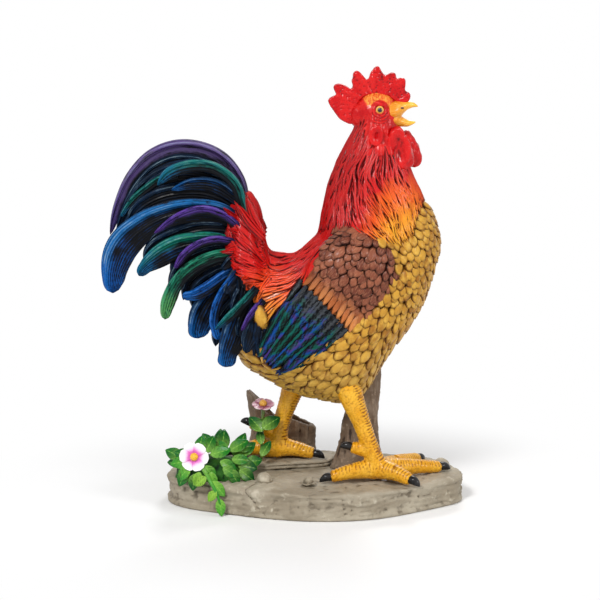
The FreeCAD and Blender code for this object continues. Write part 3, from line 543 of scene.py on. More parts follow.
def hackle_colour(paint, tone, barbs, mottle):
    stops = ((0.0, rgb(248, 196, 56)), (0.22, rgb(246, 172, 40)), (0.38, rgb(240, 112, 26)),
             (0.54, rgb(202, 16, 16)), (1.0, rgb(166, 2, 12)))
    main = position_blend(paint, (0.0700, 0.0, 0.2080), (0.038, 0.2, 0.054), *stops)
    main = paint.mix(tone * 0.3, main, rgb(222, 30, 24))
    # Painted highlight: pale pink streaks along the barbs, standing for glints on the varnish
    return paint.mix(paint.ease(barbs, 0.55, 0.8) * 0.22, main, rgb(255, 150, 110))


def saddle_colour(paint, tone, barbs, mottle):
    stops = ((0.0, rgb(222, 176, 60)), (0.22, rgb(232, 150, 44)), (0.42, rgb(238, 84, 28)),
             (0.62, rgb(208, 16, 16)), (1.0, rgb(180, 2, 12)))
    main = position_blend(paint, (-0.034, 0.0, 0.145), (0.05, 0.2, 0.042), *stops)
    main = paint.mix(tone * 0.25, main, rgb(232, 44, 30))
    # Painted highlight: pale streaks along the barbs, standing for glints on the varnish
    return paint.mix(paint.ease(barbs, 0.55, 0.8) * 0.25, main, rgb(250, 150, 100))


def tail_paint(name, rim, brush, tip, brushed, edge_at):
    """Black feather with a painted outer rim, and brushed hair lines that thicken towards the tip."""
    paint = Paint(name, **DARK_VARNISH)
    uv = paint.uv()
    across = paint.part(uv, "X")
    along = paint.part(uv, "Y")
    tone = paint.attribute("tone")
    relief = paint.attribute("relief")
    place = paint.place()
    hairs = paint.noise(paint.vector(across * 30, along * 3.2, tone * 23), 1.6, 5.0, 0.65)
    blotch = paint.noise(place, 75, 4.0, 0.6)
    patchy = paint.noise(paint.vector(across * 4, along * 9, tone * 31), 1.0, 4.0, 0.7)
    scratch = paint.noise(place, 420, 2.0)
    dark = paint.mix(blotch, rgb(4, 5, 8), rgb(16, 18, 24))
    edge = paint.ease(across + (blotch - 0.5) * 0.35, edge_at, edge_at + 0.2)
    raised = paint.ease(relief, 0.25, 0.75)
    rim_mask = edge * paint.ease(along, 0.03, 0.22) * (raised * 0.6 + 0.4) * paint.ease(patchy, 0.34, 0.52)
    reach = paint.ease(along, 0.25, 1.0, 0.08 + 0.3 * brushed, 0.2 + 0.75 * brushed)
    brush_mask = paint.ease(hairs * 0.9 + blotch * 0.55 + raised * 0.3 + patchy * 0.5, 1.08, 1.36) * reach
    tip_mask = paint.ease(along + (blotch - 0.5) * 0.4, 0.72, 0.98) * 0.75
    main = paint.mix(brush_mask, dark, brush)
    main = paint.mix(rim_mask, main, paint.mix(paint.ease(hairs, 0.35, 0.7), rim, paint.mix(0.5, rim, brush)))
    main = paint.mix(tip_mask * paint.ease(relief + scratch, 0.5, 1.0), main, tip)
    light = paint.ease(hairs + raised * 0.25 + (patchy - 0.5) * 0.6, 0.72, 0.98) * rim_mask * 0.5
    main = paint.mix(light, main, rgb(150, 176, 184))
    rough_value = paint.roughness(blotch, 0.3, 0.48)
    height = hairs + scratch * 0.35
    return paint.done(Base_Color=main, Roughness=rough_value, Normal=paint.bump(height, 0.0006, 0.6))


def wing_paint(name):
    """Long wing feathers: greyish black near the coverts, then patches of teal, blue and purple."""
    paint = Paint(name, **DARK_VARNISH)
    uv = paint.uv()
    across = paint.part(uv, "X")
    along = paint.part(uv, "Y")
    tone = paint.attribute("tone")
    relief = paint.attribute("relief")
    place = paint.place()
    slant = paint.vector(across * 9 + along * 34, across * 1.5, tone * 19)
    barbs = paint.noise(slant, 1.3, 3.0, 0.6)
    patch = paint.noise(paint.vector(along * 3.1, tone * 41, across * 0.6), 1.1, 2.0)
    patch = paint.ease(patch, 0.3, 0.72)
    colours = paint.ramp(patch, (0.0, rgb(4, 74, 62)), (0.36, rgb(8, 92, 84)), (0.5, rgb(10, 64, 126)),
                         (0.62, rgb(12, 70, 140)), (0.76, rgb(66, 44, 118)), (0.92, rgb(8, 84, 72)))
    grey = paint.mix(barbs, rgb(8, 9, 12), rgb(84, 88, 94))
    down = paint.part(place, "X") * 0.5 + paint.part(place, "Z") * 0.5
    far = paint.ease(down + (barbs - 0.5) * 0.01 + (tone - 0.5) * 0.012, 0.073, 0.086)
    main = paint.mix(far, colours, grey)
    mask = paint.ease(relief + barbs * 0.7 + patch * 0.15, 0.76, 1.16)
    main = paint.mix(mask, rgb(4, 5, 8), main)
    return paint.done(Base_Color=main, Roughness=paint.roughness(barbs, 0.42, 0.26),
                      Normal=paint.bump(barbs, 0.0009, 0.7))


def skin_paint(name, low, main, high, painted_shade_span, rough=0.3):
    """Varnished paint over a modelled skin, with a painted highlight of the high colour on its raised places
    and painted shade of the low colour in its low places.
    """
    paint = Paint(name, **SKIN_VARNISH)
    place = paint.place()
    relief = paint.attribute("relief")
    blotch = paint.noise(place, 85, 4.0)
    fine = paint.noise(place, 520, 3.0)
    body = paint.mix(paint.ease(blotch, 0.35, 0.7), main, paint.mix(0.5, main, high))
    # Painted highlight: raised places take up to half of the high colour
    body = paint.mix(paint.ease(relief + (blotch - 0.5) * 0.3, painted_shade_span[1], 1.0) * 0.55, body, high)
    # Painted shade: low places take the low colour
    body = paint.mix(paint.ease(relief + (fine - 0.5) * 0.3, *painted_shade_span), low, body)
    return paint.done(Base_Color=body, Roughness=paint.roughness(fine, rough - 0.06, rough + 0.1),
                      Normal=paint.bump(fine, 0.0005, 0.35))


def stone_paint(name, low, main, high, grain=260.0):
    """Matt painted stone or bark, with painted shade of the low colour in its low places and cracks, and
    dry-brushed light on its raised places.
    """
    paint = Paint(name, Specular_IOR_Level=0.2)
    place = paint.place()
    relief = paint.attribute("relief")
    blotch = paint.noise(place, 34, 5.0, 0.6)
    fine = paint.noise(place, grain, 5.0, 0.65)
    layers = paint.noise(paint.scaled(place, 12, 12, 120), 1.0, 4.0)
    body = paint.mix(paint.ease(blotch + (layers - 0.5) * 0.7, 0.35, 0.7), main, paint.mix(0.5, main, high))
    # Painted shade: low places and cracks of the relief take the low colour
    body = paint.mix(paint.ease(relief + (fine - 0.5) * 0.4, 0.02, 0.34), low, body)
    brush = paint.ease(relief + (fine - 0.5) * 1.1 + (blotch - 0.5) * 0.5, 0.72, 1.05)
    body = paint.mix(brush * 0.8, body, high)
    return paint.done(Base_Color=body, Roughness=paint.roughness(fine, 0.5, 0.72),
                      Normal=paint.bump(fine + layers * 0.4, 0.0008, 0.6))


# Colours of the paints

# The second colour of each feather paint, and the first of each skin and stone paint, is painted shade for
# the low places; the last colour of each skin paint is also its painted highlight on raised places
PAINTS = {
    "breast": feather_paint("breast_paint", breast_colour, rgb(92, 52, 18), 7.0, (0.1, 0.74)),
    "coverts": feather_paint("covert_paint", covert_colour, rgb(40, 16, 12), 6.0, (0.08, 0.72)),
    "hackle": feather_paint("hackle_paint", hackle_colour, rgb(88, 0, 6), 9.0, (0.04, 0.66), 0.28,
                            GLOSSY_VARNISH),
    "saddle": feather_paint("saddle_paint", saddle_colour, rgb(92, 2, 6), 9.0, (0.04, 0.62), 0.3,
                            GLOSSY_VARNISH),
    "wing": wing_paint("wing_paint"),
    "face": skin_paint("face_paint", rgb(92, 0, 6), rgb(184, 4, 12), rgb(212, 30, 28), (0.08, 0.62), 0.22),
    "legs": skin_paint("leg_paint", rgb(132, 74, 10), rgb(222, 156, 26), rgb(244, 192, 66), (0.08, 0.6)),
    "claws": skin_paint("claw_paint", rgb(6, 6, 7), rgb(14, 13, 14), rgb(52, 50, 50), (0.0, 0.3), 0.2),
    "rock": stone_paint("rock_paint", rgb(118, 108, 92), rgb(148, 137, 118), rgb(196, 187, 168)),
    "moss": stone_paint("moss_paint", rgb(10, 40, 14), rgb(28, 84, 28), rgb(70, 130, 44), 500.0),
    "bark": stone_paint("bark_paint", rgb(58, 46, 38), rgb(112, 94, 78), rgb(164, 146, 126), 300.0),
}

# For each tail paint its rim, its brushed hair lines and its tip, how much of it is brushed, and where the
# rim starts across the feather
TAIL_COLOURS = {
    "purple": ((86, 56, 134), (138, 134, 156), (58, 46, 104), 0.8, 0.24),
    "violet": ((96, 52, 150), (40, 62, 150), (78, 44, 130), 0.5, 0.2),
    "teal": ((8, 112, 92), (14, 96, 132), (10, 90, 132), 0.5, 0.34),
    "green": ((8, 116, 76), (10, 84, 152), (10, 92, 140), 0.85, 0.5),
    "pale": ((24, 126, 92), (40, 128, 112), (92, 164, 90), 0.5, 0.3),
    "sky": ((16, 100, 160), (8, 74, 150), (10, 84, 164), 1.0, 0.6),
    "blue": ((12, 92, 176), (10, 76, 160), (14, 100, 184), 0.7, 0.3),
    "dark": ((14, 48, 74), (10, 80, 148), (12, 94, 168), 0.95, 0.74),
    "black": ((12, 20, 30), (10, 62, 108), (10, 34, 60), 0.5, 0.6),
}
TAIL_PAINTS = {
    name: tail_paint(f"{name}_feather_paint", rgb(*rim), rgb(*brush), rgb(*tip), brushed, edge_at)
    for name, (rim, brush, tip, brushed, edge_at) in TAIL_COLOURS.items()
}
PAINTS["black"] = TAIL_PAINTS["black"]


# The body

BODY_NODES = ("torso", "neck", "head", "tail_root", "right_wing_coverts", "left_wing_coverts",
              "right_wing_feathers", "left_wing_feathers")
BODY_VOXEL = 0.0024
BRIDGE_SWELL = 0.0045


def body_surface():
    """The smooth form on which the feathers lie, with a bridge along the dowel from torso to tail."""
    bridge = modified(copy_of("tail_dowel"), "DISPLACE", strength=BRIDGE_SWELL, mid_level=0.0)
    form = remeshed(joined([copy_of(*BODY_NODES), bridge]), BODY_VOXEL, 12)
    surface = Surface(form)
    bpy.data.objects.remove(form)
    return surface


body = body_surface()

# Areas of the plumage, and strokes that say which way its feathers lie, in pixels of the side view

COVERT_AREA = [(341, 222), (364, 230), (388, 249), (393, 266), (388, 285), (368, 314), (343, 329),
               (324, 310), (303, 286), (320, 262)]
WING_AREA = [(303, 284), (344, 328), (320, 348), (289, 370), (276, 374), (260, 362), (259, 350), (270, 316)]
HACKLE_AREA = [(344, 118), (332, 150), (316, 200), (310, 232), (330, 236), (352, 233), (368, 243), (384, 249),
               (397, 250), (409, 243), (415, 219), (424, 196), (414, 172), (398, 152), (380, 150),
               (368, 140), (362, 118)]
SADDLE_AREA = [(338, 222), (332, 190), (300, 212), (278, 232), (268, 215), (262, 190), (236, 190),
               (222, 210), (230, 228), (221, 253), (231, 262), (235, 271), (242, 279), (250, 292), (256, 306),
               (265, 328), (281, 311), (304, 287), (322, 262), (343, 231)]
REAR_AREA = [(221, 253), (231, 262), (235, 271), (242, 279), (250, 292), (256, 306), (265, 328), (272, 322),
             (272, 336), (268, 344), (262, 357), (246, 357), (232, 335), (222, 290)]

# How feathers are laid: spacing, length and half width, how far a scale's tip lifts or how much a strand
# sways, and how high its crown is

CHEST_SCALES = {"spacing": 0.0049, "length": 0.0100, "half_width": 0.0052, "lift": 0.0027, "crown": 0.0013}
BELLY_SCALES = {"spacing": 0.0060, "length": 0.0155, "half_width": 0.0058, "lift": 0.0034, "crown": 0.0015}
COVERT_SCALES = {"spacing": 0.0047, "length": 0.0104, "half_width": 0.0048, "lift": 0.0025, "crown": 0.0010}
HACKLE_STRANDS = {"spacing": 0.0036, "length": 0.042, "half_width": 0.0018, "crown": 0.0014, "sway": 0.24}
BACK_STRANDS = {"spacing": 0.0038, "length": 0.036, "half_width": 0.0019, "crown": 0.0012, "sway": 0.12}
FLANK_STRANDS = {"spacing": 0.0036, "length": 0.038, "half_width": 0.0018, "crown": 0.0012, "sway": 0.12}
REAR_STRANDS = {"spacing": 0.0042, "length": 0.030, "half_width": 0.0027, "crown": 0.0014, "sway": 0.1}

hackle_flow = Flow(
    ((352, 120), (338, 155), (327, 195), (322, 236)),
    ((357, 130), (342, 170), (338, 205), (348, 234)),
    ((364, 140), (351, 175), (358, 205), (383, 247)),
    ((374, 150), (366, 180), (381, 208), (398, 247)),
    ((386, 152), (386, 180), (398, 206), (408, 242)),
    ((398, 158), (404, 182), (412, 202), (414, 220)),
    ((408, 165), (415, 185), (420, 204)),
)
saddle_flow = Flow(
    ((338, 190), (325, 222), (312, 240), (296, 256), (280, 262), (268, 256), (262, 232), (252, 198)),
    ((305, 252), (284, 264), (264, 256), (246, 238), (225, 210)),
    ((306, 256), (284, 270), (258, 266), (222, 252)),
    ((310, 258), (288, 276), (262, 276), (236, 271)),
    ((314, 260), (292, 286), (272, 288), (250, 292)),
    ((318, 258), (300, 288), (282, 304), (265, 328)),
    ((343, 231), (322, 260), (304, 287), (284, 312)),
)
rear_flow = Flow(
    ((256, 262), (248, 290), (243, 330)),
    ((262, 290), (256, 318), (250, 352)),
)
covert_flow = Flow(
    ((352, 228), (330, 258), (304, 286)),
    ((372, 238), (352, 272), (322, 308)),
    ((388, 258), (374, 290), (344, 328)),
    ((390, 268), (388, 290), (366, 318)),
)
breast_flow = Flow(
    ((420, 195), (434, 232), (431, 268), (418, 310), (392, 348), (372, 376), (352, 400)),
    ((412, 220), (418, 262), (404, 306), (380, 342), (352, 372), (332, 396)),
    ((394, 246), (398, 290), (378, 324), (350, 350), (316, 372), (300, 392)),
    ((366, 316), (344, 340), (308, 366), (280, 382)),
    ((300, 372), (272, 372), (250, 356)),
    ((250, 350), (240, 330), (236, 300)),
)


def covered(*areas):
    """Tells whether a place on the body's side lies in any of these areas."""
    def test(place, normal):
        column, row = pixel_of(place)
        return abs(normal.y) > 0.2 and any(within(area, column, row) for area in areas)
    return test


on_wing = covered(COVERT_AREA, WING_AREA)


def in_hackle(place, normal):
    return within(HACKLE_AREA, *pixel_of(place))


def in_saddle(place, normal):
    return within(SADDLE_AREA, *pixel_of(place)) and not on_wing(place, normal)


def in_coverts(place, normal):
    return abs(normal.y) > 0.2 and within(COVERT_AREA, *pixel_of(place))


def in_rear(place, normal):
    """The dark flank between the tail and the wing."""
    return within(REAR_AREA, *pixel_of(place)) and not on_wing(place, normal)


def on_breast(place, normal):
    """Breast and belly, which run on a little under the hackle's lower edge."""
    column, row = pixel_of(place)
    under = 9 if column > 376 else 0
    taken = (on_wing(place, normal) or within(HACKLE_AREA, column, row + under) or in_saddle(place, normal)
             or in_rear(place, normal))
    return row > 165 and not taken


def rounded(share):
    """Width of a scale-like feather from root to tip, against its widest."""
    return math.sin(math.pi * (0.14 + 0.79 * share)) ** 0.62


def pointed(share):
    """Width of a long strand: quick to open, and drawn out to a point."""
    return limited(0.35 + 2.6 * share) * (1 - share**2.2) ** 0.75 + 0.03


def scale_pattern(mark, share):
    return (1 - mark * mark) * (0.35 + 0.65 * math.sin(math.pi * limited(share * 0.85 + 0.1)))


def strand_pattern(mark, share):
    ridge = 0.5 + 0.5 * math.cos(2 * math.pi * mark)
    return (1 - mark**4) * (0.3 + 0.7 * ridge) * math.sin(math.pi * limited(0.12 + 0.84 * share)) ** 0.5


def lay_scales(rings, wanted, flow, seed, spacing, length, half_width, lift, crown):
    """Covers the wanted places with short round feathers."""
    chooser = random.Random(seed)
    for place in spread(body, spacing, wanted, seed):
        size = chooser.uniform(0.85, 1.18)
        trail = walk(body, flow, place, length * size, 5, sway=0.16, turns=0.3, phase=chooser.uniform(0, 6))
        if len(trail) > 3:
            lay(rings, body, trail, half_width * size, 5, rounded,
                lambda share: -0.0006 + lift * share, crown, scale_pattern, chooser.random())


def lay_strands(rings, wanted, flow, area, seed, spacing, length, half_width, crown, sway):
    """Covers the wanted places with long pointed feathers that end inside the area, the lowest on top."""
    chooser = random.Random(seed)
    places = spread(body, spacing, wanted, seed)
    places.sort(key=lambda place: -place.z)
    for place in places:
        reach = length * chooser.uniform(0.75, 1.25)
        trail = walk(body, flow, place, reach, 13, area, sway, chooser.uniform(0.5, 0.9),
                     chooser.uniform(0, 6.28))
        if len(trail) > 5:
            top = chooser.uniform(0.0008, 0.0021)
            lay(rings, body, trail, half_width * chooser.uniform(0.8, 1.3), 5, pointed,
                lambda share: -0.0004 + top * share, crown, strand_pattern, chooser.random())


def skin_where(wanted):
    """The part of the body's smooth form that wanted picks, just below its feathers."""
    faces = [face for face in body.faces
             if wanted(sum((body.points[c] for c in face), Vector()) / len(face), body.normals[face[0]])]
    used = sorted({corner for face in faces for corner in face})
    order = {corner: index for index, corner in enumerate(used)}
    mesh = bpy.data.meshes.new("skin")
    mesh.from_pydata([body.points[c] - body.normals[c] * 0.0005 for c in used], [],
                     [[order[c] for c in face] for face in faces])
    # A relief of 0.42 sets the skin low, so that a feather paint puts part of its painted shade colour on it
    for name, value in (("tone", 0.5), ("relief", 0.42)):
        mesh.attributes.new(name, "FLOAT", "POINT").data.foreach_set("value", [value] * len(used))
    obj = bpy.data.objects.new("skin", mesh)
    bpy.context.scene.collection.objects.link(obj)
    return obj


def plumage(rings, name, slot, paint, node, wanted):
    """The feathers and the skin under them, as one piece in place of the node."""
    return piece(joined([rings.made(), skin_where(wanted)]), name, slot, PAINTS[paint], node)


def chest_place(place, normal):
    return on_breast(place, normal) and pixel_of(place)[1] < 318


def belly_place(place, normal):
    return on_breast(place, normal) and pixel_of(place)[1] >= 312


def make_breast():
    breast = Rings()
    lay_scales(breast, chest_place, breast_flow, 21, **CHEST_SCALES)
    lay_scales(breast, belly_place, breast_flow, 22, **BELLY_SCALES)
    plumage(breast, "breast_and_belly", "breast_gold", "breast", "torso", on_breast)


def make_hackle():
    hackle = Rings()
    lay_strands(hackle, in_hackle, hackle_flow, HACKLE_AREA, 31, **HACKLE_STRANDS)
    plumage(hackle, "neck_hackle", "hackle_red", "hackle", "neck", in_hackle)


make_breast()
make_hackle()


def on_flank(place, normal):
    """The part of the saddle that hangs down a side."""
    return abs(normal.y) > 0.35 and pixel_of(place)[1] > 226


def on_back(place, normal):
    return in_saddle(place, normal) and not on_flank(place, normal)


def tail_blade(rings, side, y, thickness, grooves, pixels, tone, tilt=0.22, stations=64, y_tip=None,
               blunt=0.0):
    """A long feather: a raised rim along its upper edge, grooves along it, and a thinner lower edge.
    blunt is the share of its widest that a rounded tip keeps."""
    y_tip = y if y_tip is None else y_tip
    steps = len(pixels) - 1
    knots = [(*seen(column, row, y + (y_tip - y) * index / steps), half_width * PIXEL)
             for index, (column, row, half_width) in enumerate(pixels)]
    widest = max(knot[3] for knot in knots)
    line = smooth_line(knots, stations)
    across = max(17, grooves * 4 + 1)
    marks = [2 * k / (across - 1) - 1 for k in range(across)]
    loops, relief = [], []
    last = stations - 1
    for index, knot in enumerate(line):
        share = index / last
        middle = Vector(knot[:3])
        ahead = Vector(line[min(index + 1, last)][:3]) - Vector(line[max(index - 1, 0)][:3])
        up = Vector((ahead.z, 0, -ahead.x)).normalized()
        half = max(knot[3], 0.0004, blunt * widest * eased(share, 0.4, 0.8))
        half *= math.sqrt(max(0.003, 1 - limited((share - 0.9) / 0.1) ** 2))
        depth = min(thickness, half * 1.6)
        top, bottom, raised = [], [], []
        for mark in marks:
            rim = math.exp(-(((mark - 0.66) / 0.26) ** 2))
            shaft = 0.6 * math.exp(-(((mark + 0.12) / 0.1) ** 2))
            bend = mark + 0.12 * math.sin(math.pi * share)
            groove = 0.5 + 0.5 * math.cos(math.pi * grooves * bend)
            edge = (1 - abs(mark) ** 7)
            height = depth * (0.12 + 0.38 * rim * edge + 0.16 * shaft * edge) + 0.00045 * groove * edge
            out = side * (height + tilt * mark * half)
            spot = middle + up * (mark * half)
            top.append(spot + Vector((0, out, 0)))
            back = side * (tilt * mark * half - depth * 0.3 * (1 - mark * mark) - 0.0003)
            bottom.append(spot + Vector((0, back, 0)))
            raised.append(limited(0.55 * groove + 0.45 * rim))
        loops.append(top + bottom[::-1])
        relief.append(raised + [0.3] * across)
    u = [(mark + 1) / 2 for mark in marks]
    rings.add(loops, u + u[::-1], tone, relief)


# Loose tips of the saddle strands that lie over the tail: root, bow and tip in pixels
SADDLE_TIPS = (
    ((264, 236), (252, 214), (247, 198)),
    ((264, 240), (248, 222), (236, 203)),
    ((263, 244), (244, 226), (225, 210)),
    ((262, 247), (244, 238), (229, 230)),
    ((262, 251), (242, 250), (222, 253)),
    ((264, 256), (246, 256), (231, 258)),
    ((266, 261), (250, 264), (236, 270)),
    ((268, 267), (256, 273), (243, 281)),
    ((270, 273), (260, 281), (251, 291)),
    ((272, 280), (264, 290), (257, 303)),
)


def lay_saddle_tips(rings, side, seed):
    """Three strands side by side for each tip, the middle one at full length."""
    chooser = random.Random(seed)
    for root, bow, tip in SADDLE_TIPS:
        for twin in range(3):
            shift = 2.6 * (twin - 1) + chooser.uniform(-0.8, 0.8)
            drawn = chooser.uniform(0.72, 1.0) if twin != 1 else 1.0
            pixels = [(root[0] + shift * 0.4, root[1] + shift, 2.8),
                      (bow[0], bow[1] + shift, 3.0),
                      (bow[0] + (tip[0] - bow[0]) * 0.6 * drawn,
                       bow[1] + (tip[1] - bow[1]) * 0.6 * drawn + shift * 0.7, 2.0),
                      (bow[0] + (tip[0] - bow[0]) * drawn,
                       bow[1] + (tip[1] - bow[1]) * drawn + shift * 0.4, 0.5)]
            root_out = abs(body.touch(*root, side).y) + 0.0010
            tip_out = max(0.0200 + 0.0060 * eased(tip[1], 200, 250), abs(body.touch(*tip, side).y) + 0.0055)
            tip_out += 0.0012 * twin
            tail_blade(rings, side, side * root_out, 0.003, 2, pixels, chooser.random(), 0.1, 16,
                       side * tip_out)


def make_back():
    back = Rings()
    lay_strands(back, on_back, saddle_flow, SADDLE_AREA, 41, **BACK_STRANDS)
    plumage(back, "back_strands", "saddle_red", "saddle", "tail_root", on_back)


def make_flank(side_name, side):
    """The saddle's strands down one side, with their loose tips over the tail."""
    def on_this_flank(place, normal):
        return side * place.y > 0 and in_saddle(place, normal) and on_flank(place, normal)

    flank = Rings()
    lay_strands(flank, on_this_flank, saddle_flow, SADDLE_AREA, 45 + side, **FLANK_STRANDS)
    lay_saddle_tips(flank, side, 47 + side)
    plumage(flank, f"{side_name}_saddle_strands", "saddle_red", "saddle", f"{side_name}_saddle",
            on_this_flank)


make_back()
for side_name, side in SIDES:
    make_flank(side_name, side)


# Wings

PRIMARY_COUNT = 9
SHORT_ROW_COUNT = 10
COVERT_EDGE_COUNT = 11


def middle_of(first, second):
    return (first[0] + second[0]) / 2, (first[1] + second[1]) / 2


def lay_primaries(rings, side, chooser):
    """Long feathers that fan in from the coverts' lower edge to the wing's tip, and a short row over
    them."""
    for index in range(PRIMARY_COUNT):
        share = index / (PRIMARY_COUNT - 1)
        root = (302 + 43 * share, 284 + 46 * share)
        tip = (262 + 18 * share, 353 + 18 * share)
        bow = (root[0] * 0.45 + tip[0] * 0.55 - 4 + 7 * share, root[1] * 0.45 + tip[1] * 0.55 + 1)
        trail = trail_of(body, (root, bow, tip), side, 26)
        lift = 0.0010 + 0.0012 * (index % 2)
        lay(rings, body, trail, 0.0041, 9, lambda s: limited(0.5 + 3 * s) * (1 - s**7) ** 0.5 + 0.05,
            lambda s: lift + 0.0008 * s, 0.0020, rib_pattern, chooser.random())
    for index in range(SHORT_ROW_COUNT):
        share = index / (SHORT_ROW_COUNT - 1)
        root = (303 + 42 * share, 281 + 46 * share)
        tip = (288 + 36 * share, 303 + 42 * share)
        trail = trail_of(body, (root, middle_of(root, tip), tip), side, 12)
        lay(rings, body, trail, 0.0034, 7, lambda s: (1 - s**5) ** 0.5 + 0.05,
            lambda s: 0.0022 + 0.0010 * s, 0.0010, rib_pattern, chooser.random())


def rib_pattern(mark, share):
    shaft = math.exp(-((mark / 0.16) ** 2))
    barbs = 0.5 + 0.5 * math.cos(2 * math.pi * (share * 16 + abs(mark) * 2.2))
    return (1 - mark**6) * (0.35 + 0.4 * shaft + 0.25 * barbs)


def lay_covert_edge(rings, side, chooser):
    """A row of longer tan feathers along the coverts' lower edge."""
    for index in range(COVERT_EDGE_COUNT):
        share = index / (COVERT_EDGE_COUNT - 1)
        edge = (306 + 41 * share, 287 + 43 * share)
        root = (edge[0] + 11 - 2 * share, edge[1] - 15)
        trail = trail_of(body, (root, middle_of(root, edge), edge), side, 8)
        lay(rings, body, trail, 0.0031, 5, rounded, lambda s: 0.0012 + 0.0022 * s, 0.0011, scale_pattern,
            chooser.random())


def make_wing(side_name, side):
    """The coverts, and the flight feathers that come out from under them."""
    def on_this_side(place, normal):
        return side * place.y > 0 and in_coverts(place, normal)

    def on_this_wing(place, normal):
        return side * place.y > 0 and on_wing(place, normal) and not in_coverts(place, normal)

    chooser = random.Random(50 + side)
    coverts = Rings()
    lay_scales(coverts, on_this_side, covert_flow, 60 + side, **COVERT_SCALES)
    lay_covert_edge(coverts, side, chooser)
    plumage(coverts, f"{side_name}_covert_feathers", "covert_brown", "coverts", f"{side_name}_wing_coverts",
            on_this_side)
    primaries = Rings()
    lay_primaries(primaries, side, chooser)
    plumage(primaries, f"{side_name}_flight_feathers", "wing_dark", "wing", f"{side_name}_wing_feathers",
            on_this_wing)


for side_name, side in SIDES:
    make_wing(side_name, side)


# Tail feathers: the share of the tail's half spread at which each lies, its thickness, its paint, how many
# grooves it has, and its middle line as pixel column, pixel row and half width in pixels

TAIL_SPREAD = 0.060
TAIL = {
    "top_sickle": (0, 0.012, "purple", 9, (
        (247, 215, 5), (238, 180, 7), (222, 162, 8.5), (200, 152.5, 9), (178, 151.5, 9),
        (155, 160, 8.5), (136, 178, 7), (122, 205, 5.5), (112, 235, 2.5))),
    "slim_green_feather": (0.135, 0.005, "teal", 3, (
        (180, 178, 4), (166, 180.5, 4), (150, 190, 4), (134, 204, 3.5), (124, 218, 1.5))),
    "great_sickle": (0.167, 0.008, "sky", 12, (
        (242, 226, 8), (222, 215, 11), (196, 212, 12), (168, 217, 13), (143, 230, 15),
        (125, 248, 16), (117, 268, 13), (115, 286, 7), (115, 293, 2))),
    "inner_teal_feather": (0.267, 0.005, "teal", 4, (
        (247, 230, 5), (244, 208, 5.5), (235, 185, 5.5), (215, 171, 6), (190, 170, 6), (172, 177, 5.5),
        (161, 188, 2.5))),
    "inner_blue_feather": (0.158, 0.005, "dark", 5, (
        (249, 211, 4.5), (235, 199, 6), (216, 187.5, 7), (195, 186, 6), (174, 192, 2))),
    "middle_purple_feather": (0.292, 0.005, "violet", 4, (
        (244, 233, 4), (228, 219, 4.5), (206, 212, 5), (183, 218, 4.5), (157, 235, 1.5))),
    "middle_green_feather": (0.167, 0.007, "green", 8, (
        (242, 250, 6), (222, 243, 9), (200, 243, 11), (178, 248, 12), (160, 258, 11), (146, 269, 6),
        (141, 276, 2))),
    "short_purple_feather": (0.292, 0.005, "violet", 4, (
        (238, 244, 4), (218, 241, 4.5), (200, 246, 4.5), (186, 257, 4.5), (177, 269, 2))),
    "low_green_feather": (0.31, 0.007, "pale", 6, (
        (246, 258, 5), (226, 256, 6.5), (205, 262, 7), (187, 274, 7), (175, 290, 7), (169, 307, 6.5),
        (167, 319, 2.5))),
    "short_blue_feather": (0.3, 0.005, "blue", 5, (
        (242, 268, 5), (226, 277, 6.5), (210, 288, 7), (196, 295, 6), (184, 296, 2))),
    "dark_lobe_feather": (0.167, 0.007, "dark", 9, (
        (246, 275, 8), (226, 288, 11), (210, 303, 13), (202, 320, 13), (199, 333, 8), (199, 338, 3))),
    "bright_blue_feather": (0.408, 0.005, "blue", 4, (
        (240, 272, 4), (226, 290, 4.5), (218, 308, 5), (216, 325, 4.5), (220, 339, 2))),
    "lowest_lobe_feather": (0.44, 0.007, "dark", 9, (
        (252, 300, 9), (242, 318, 13), (235, 336, 13), (229, 354, 9), (227, 366, 2.5))),
    "teal_green_feather": (0.56, 0.005, "teal", 4, (
        (258, 288, 4), (244, 304, 4.5), (230, 318, 4.5), (217, 329, 1.5))),
    "small_purple_feather": (0.56, 0.005, "violet", 4, (
        (265, 300, 3.5), (253, 314, 4), (243, 330, 1.5))),
}
BLUNT_TIPS = {"great_sickle": 0.66, "low_green_feather": 0.85, "dark_lobe_feather": 0.8,
              "middle_green_feather": 0.55, "lowest_lobe_feather": 0.7, "bright_blue_feather": 0.85,
              "short_blue_feather": 0.7, "slim_green_feather": 0.6, "short_purple_feather": 0.6}
MIRRORED = ("great_sickle", "inner_teal_feather", "middle_green_feather", "low_green_feather",
            "dark_lobe_feather", "lowest_lobe_feather")
TAIL_SLOTS = {"purple": "tail_purple", "violet": "tail_purple", "teal": "tail_green", "green": "tail_green",
              "pale": "tail_green", "sky": "tail_blue", "blue": "tail_blue", "dark": "tail_blue"}


def make_tail_feather(feather, side_name, side):
    out_share, thickness, paint, grooves, pixels = TAIL[feather]
    node = feather if feather == "top_sickle" else f"{side_name}_{feather}"
    blade = Rings()
    tail_blade(blade, side, side * out_share * TAIL_SPREAD, thickness, grooves, pixels, out_share * 3,
               blunt=BLUNT_TIPS.get(feather, 0))
    if feather == "top_sickle":
        tail_blade(blade, 1, 0.0, 0.009, 9, pixels, 0.7)
    piece(blade.made(), f"{node}_blade", TAIL_SLOTS[paint], TAIL_PAINTS[paint], node)


for feather in TAIL:
    for side_name, side in SIDES:
        if side < 0 or feather in MIRRORED:
            make_tail_feather(feather, side_name, side)


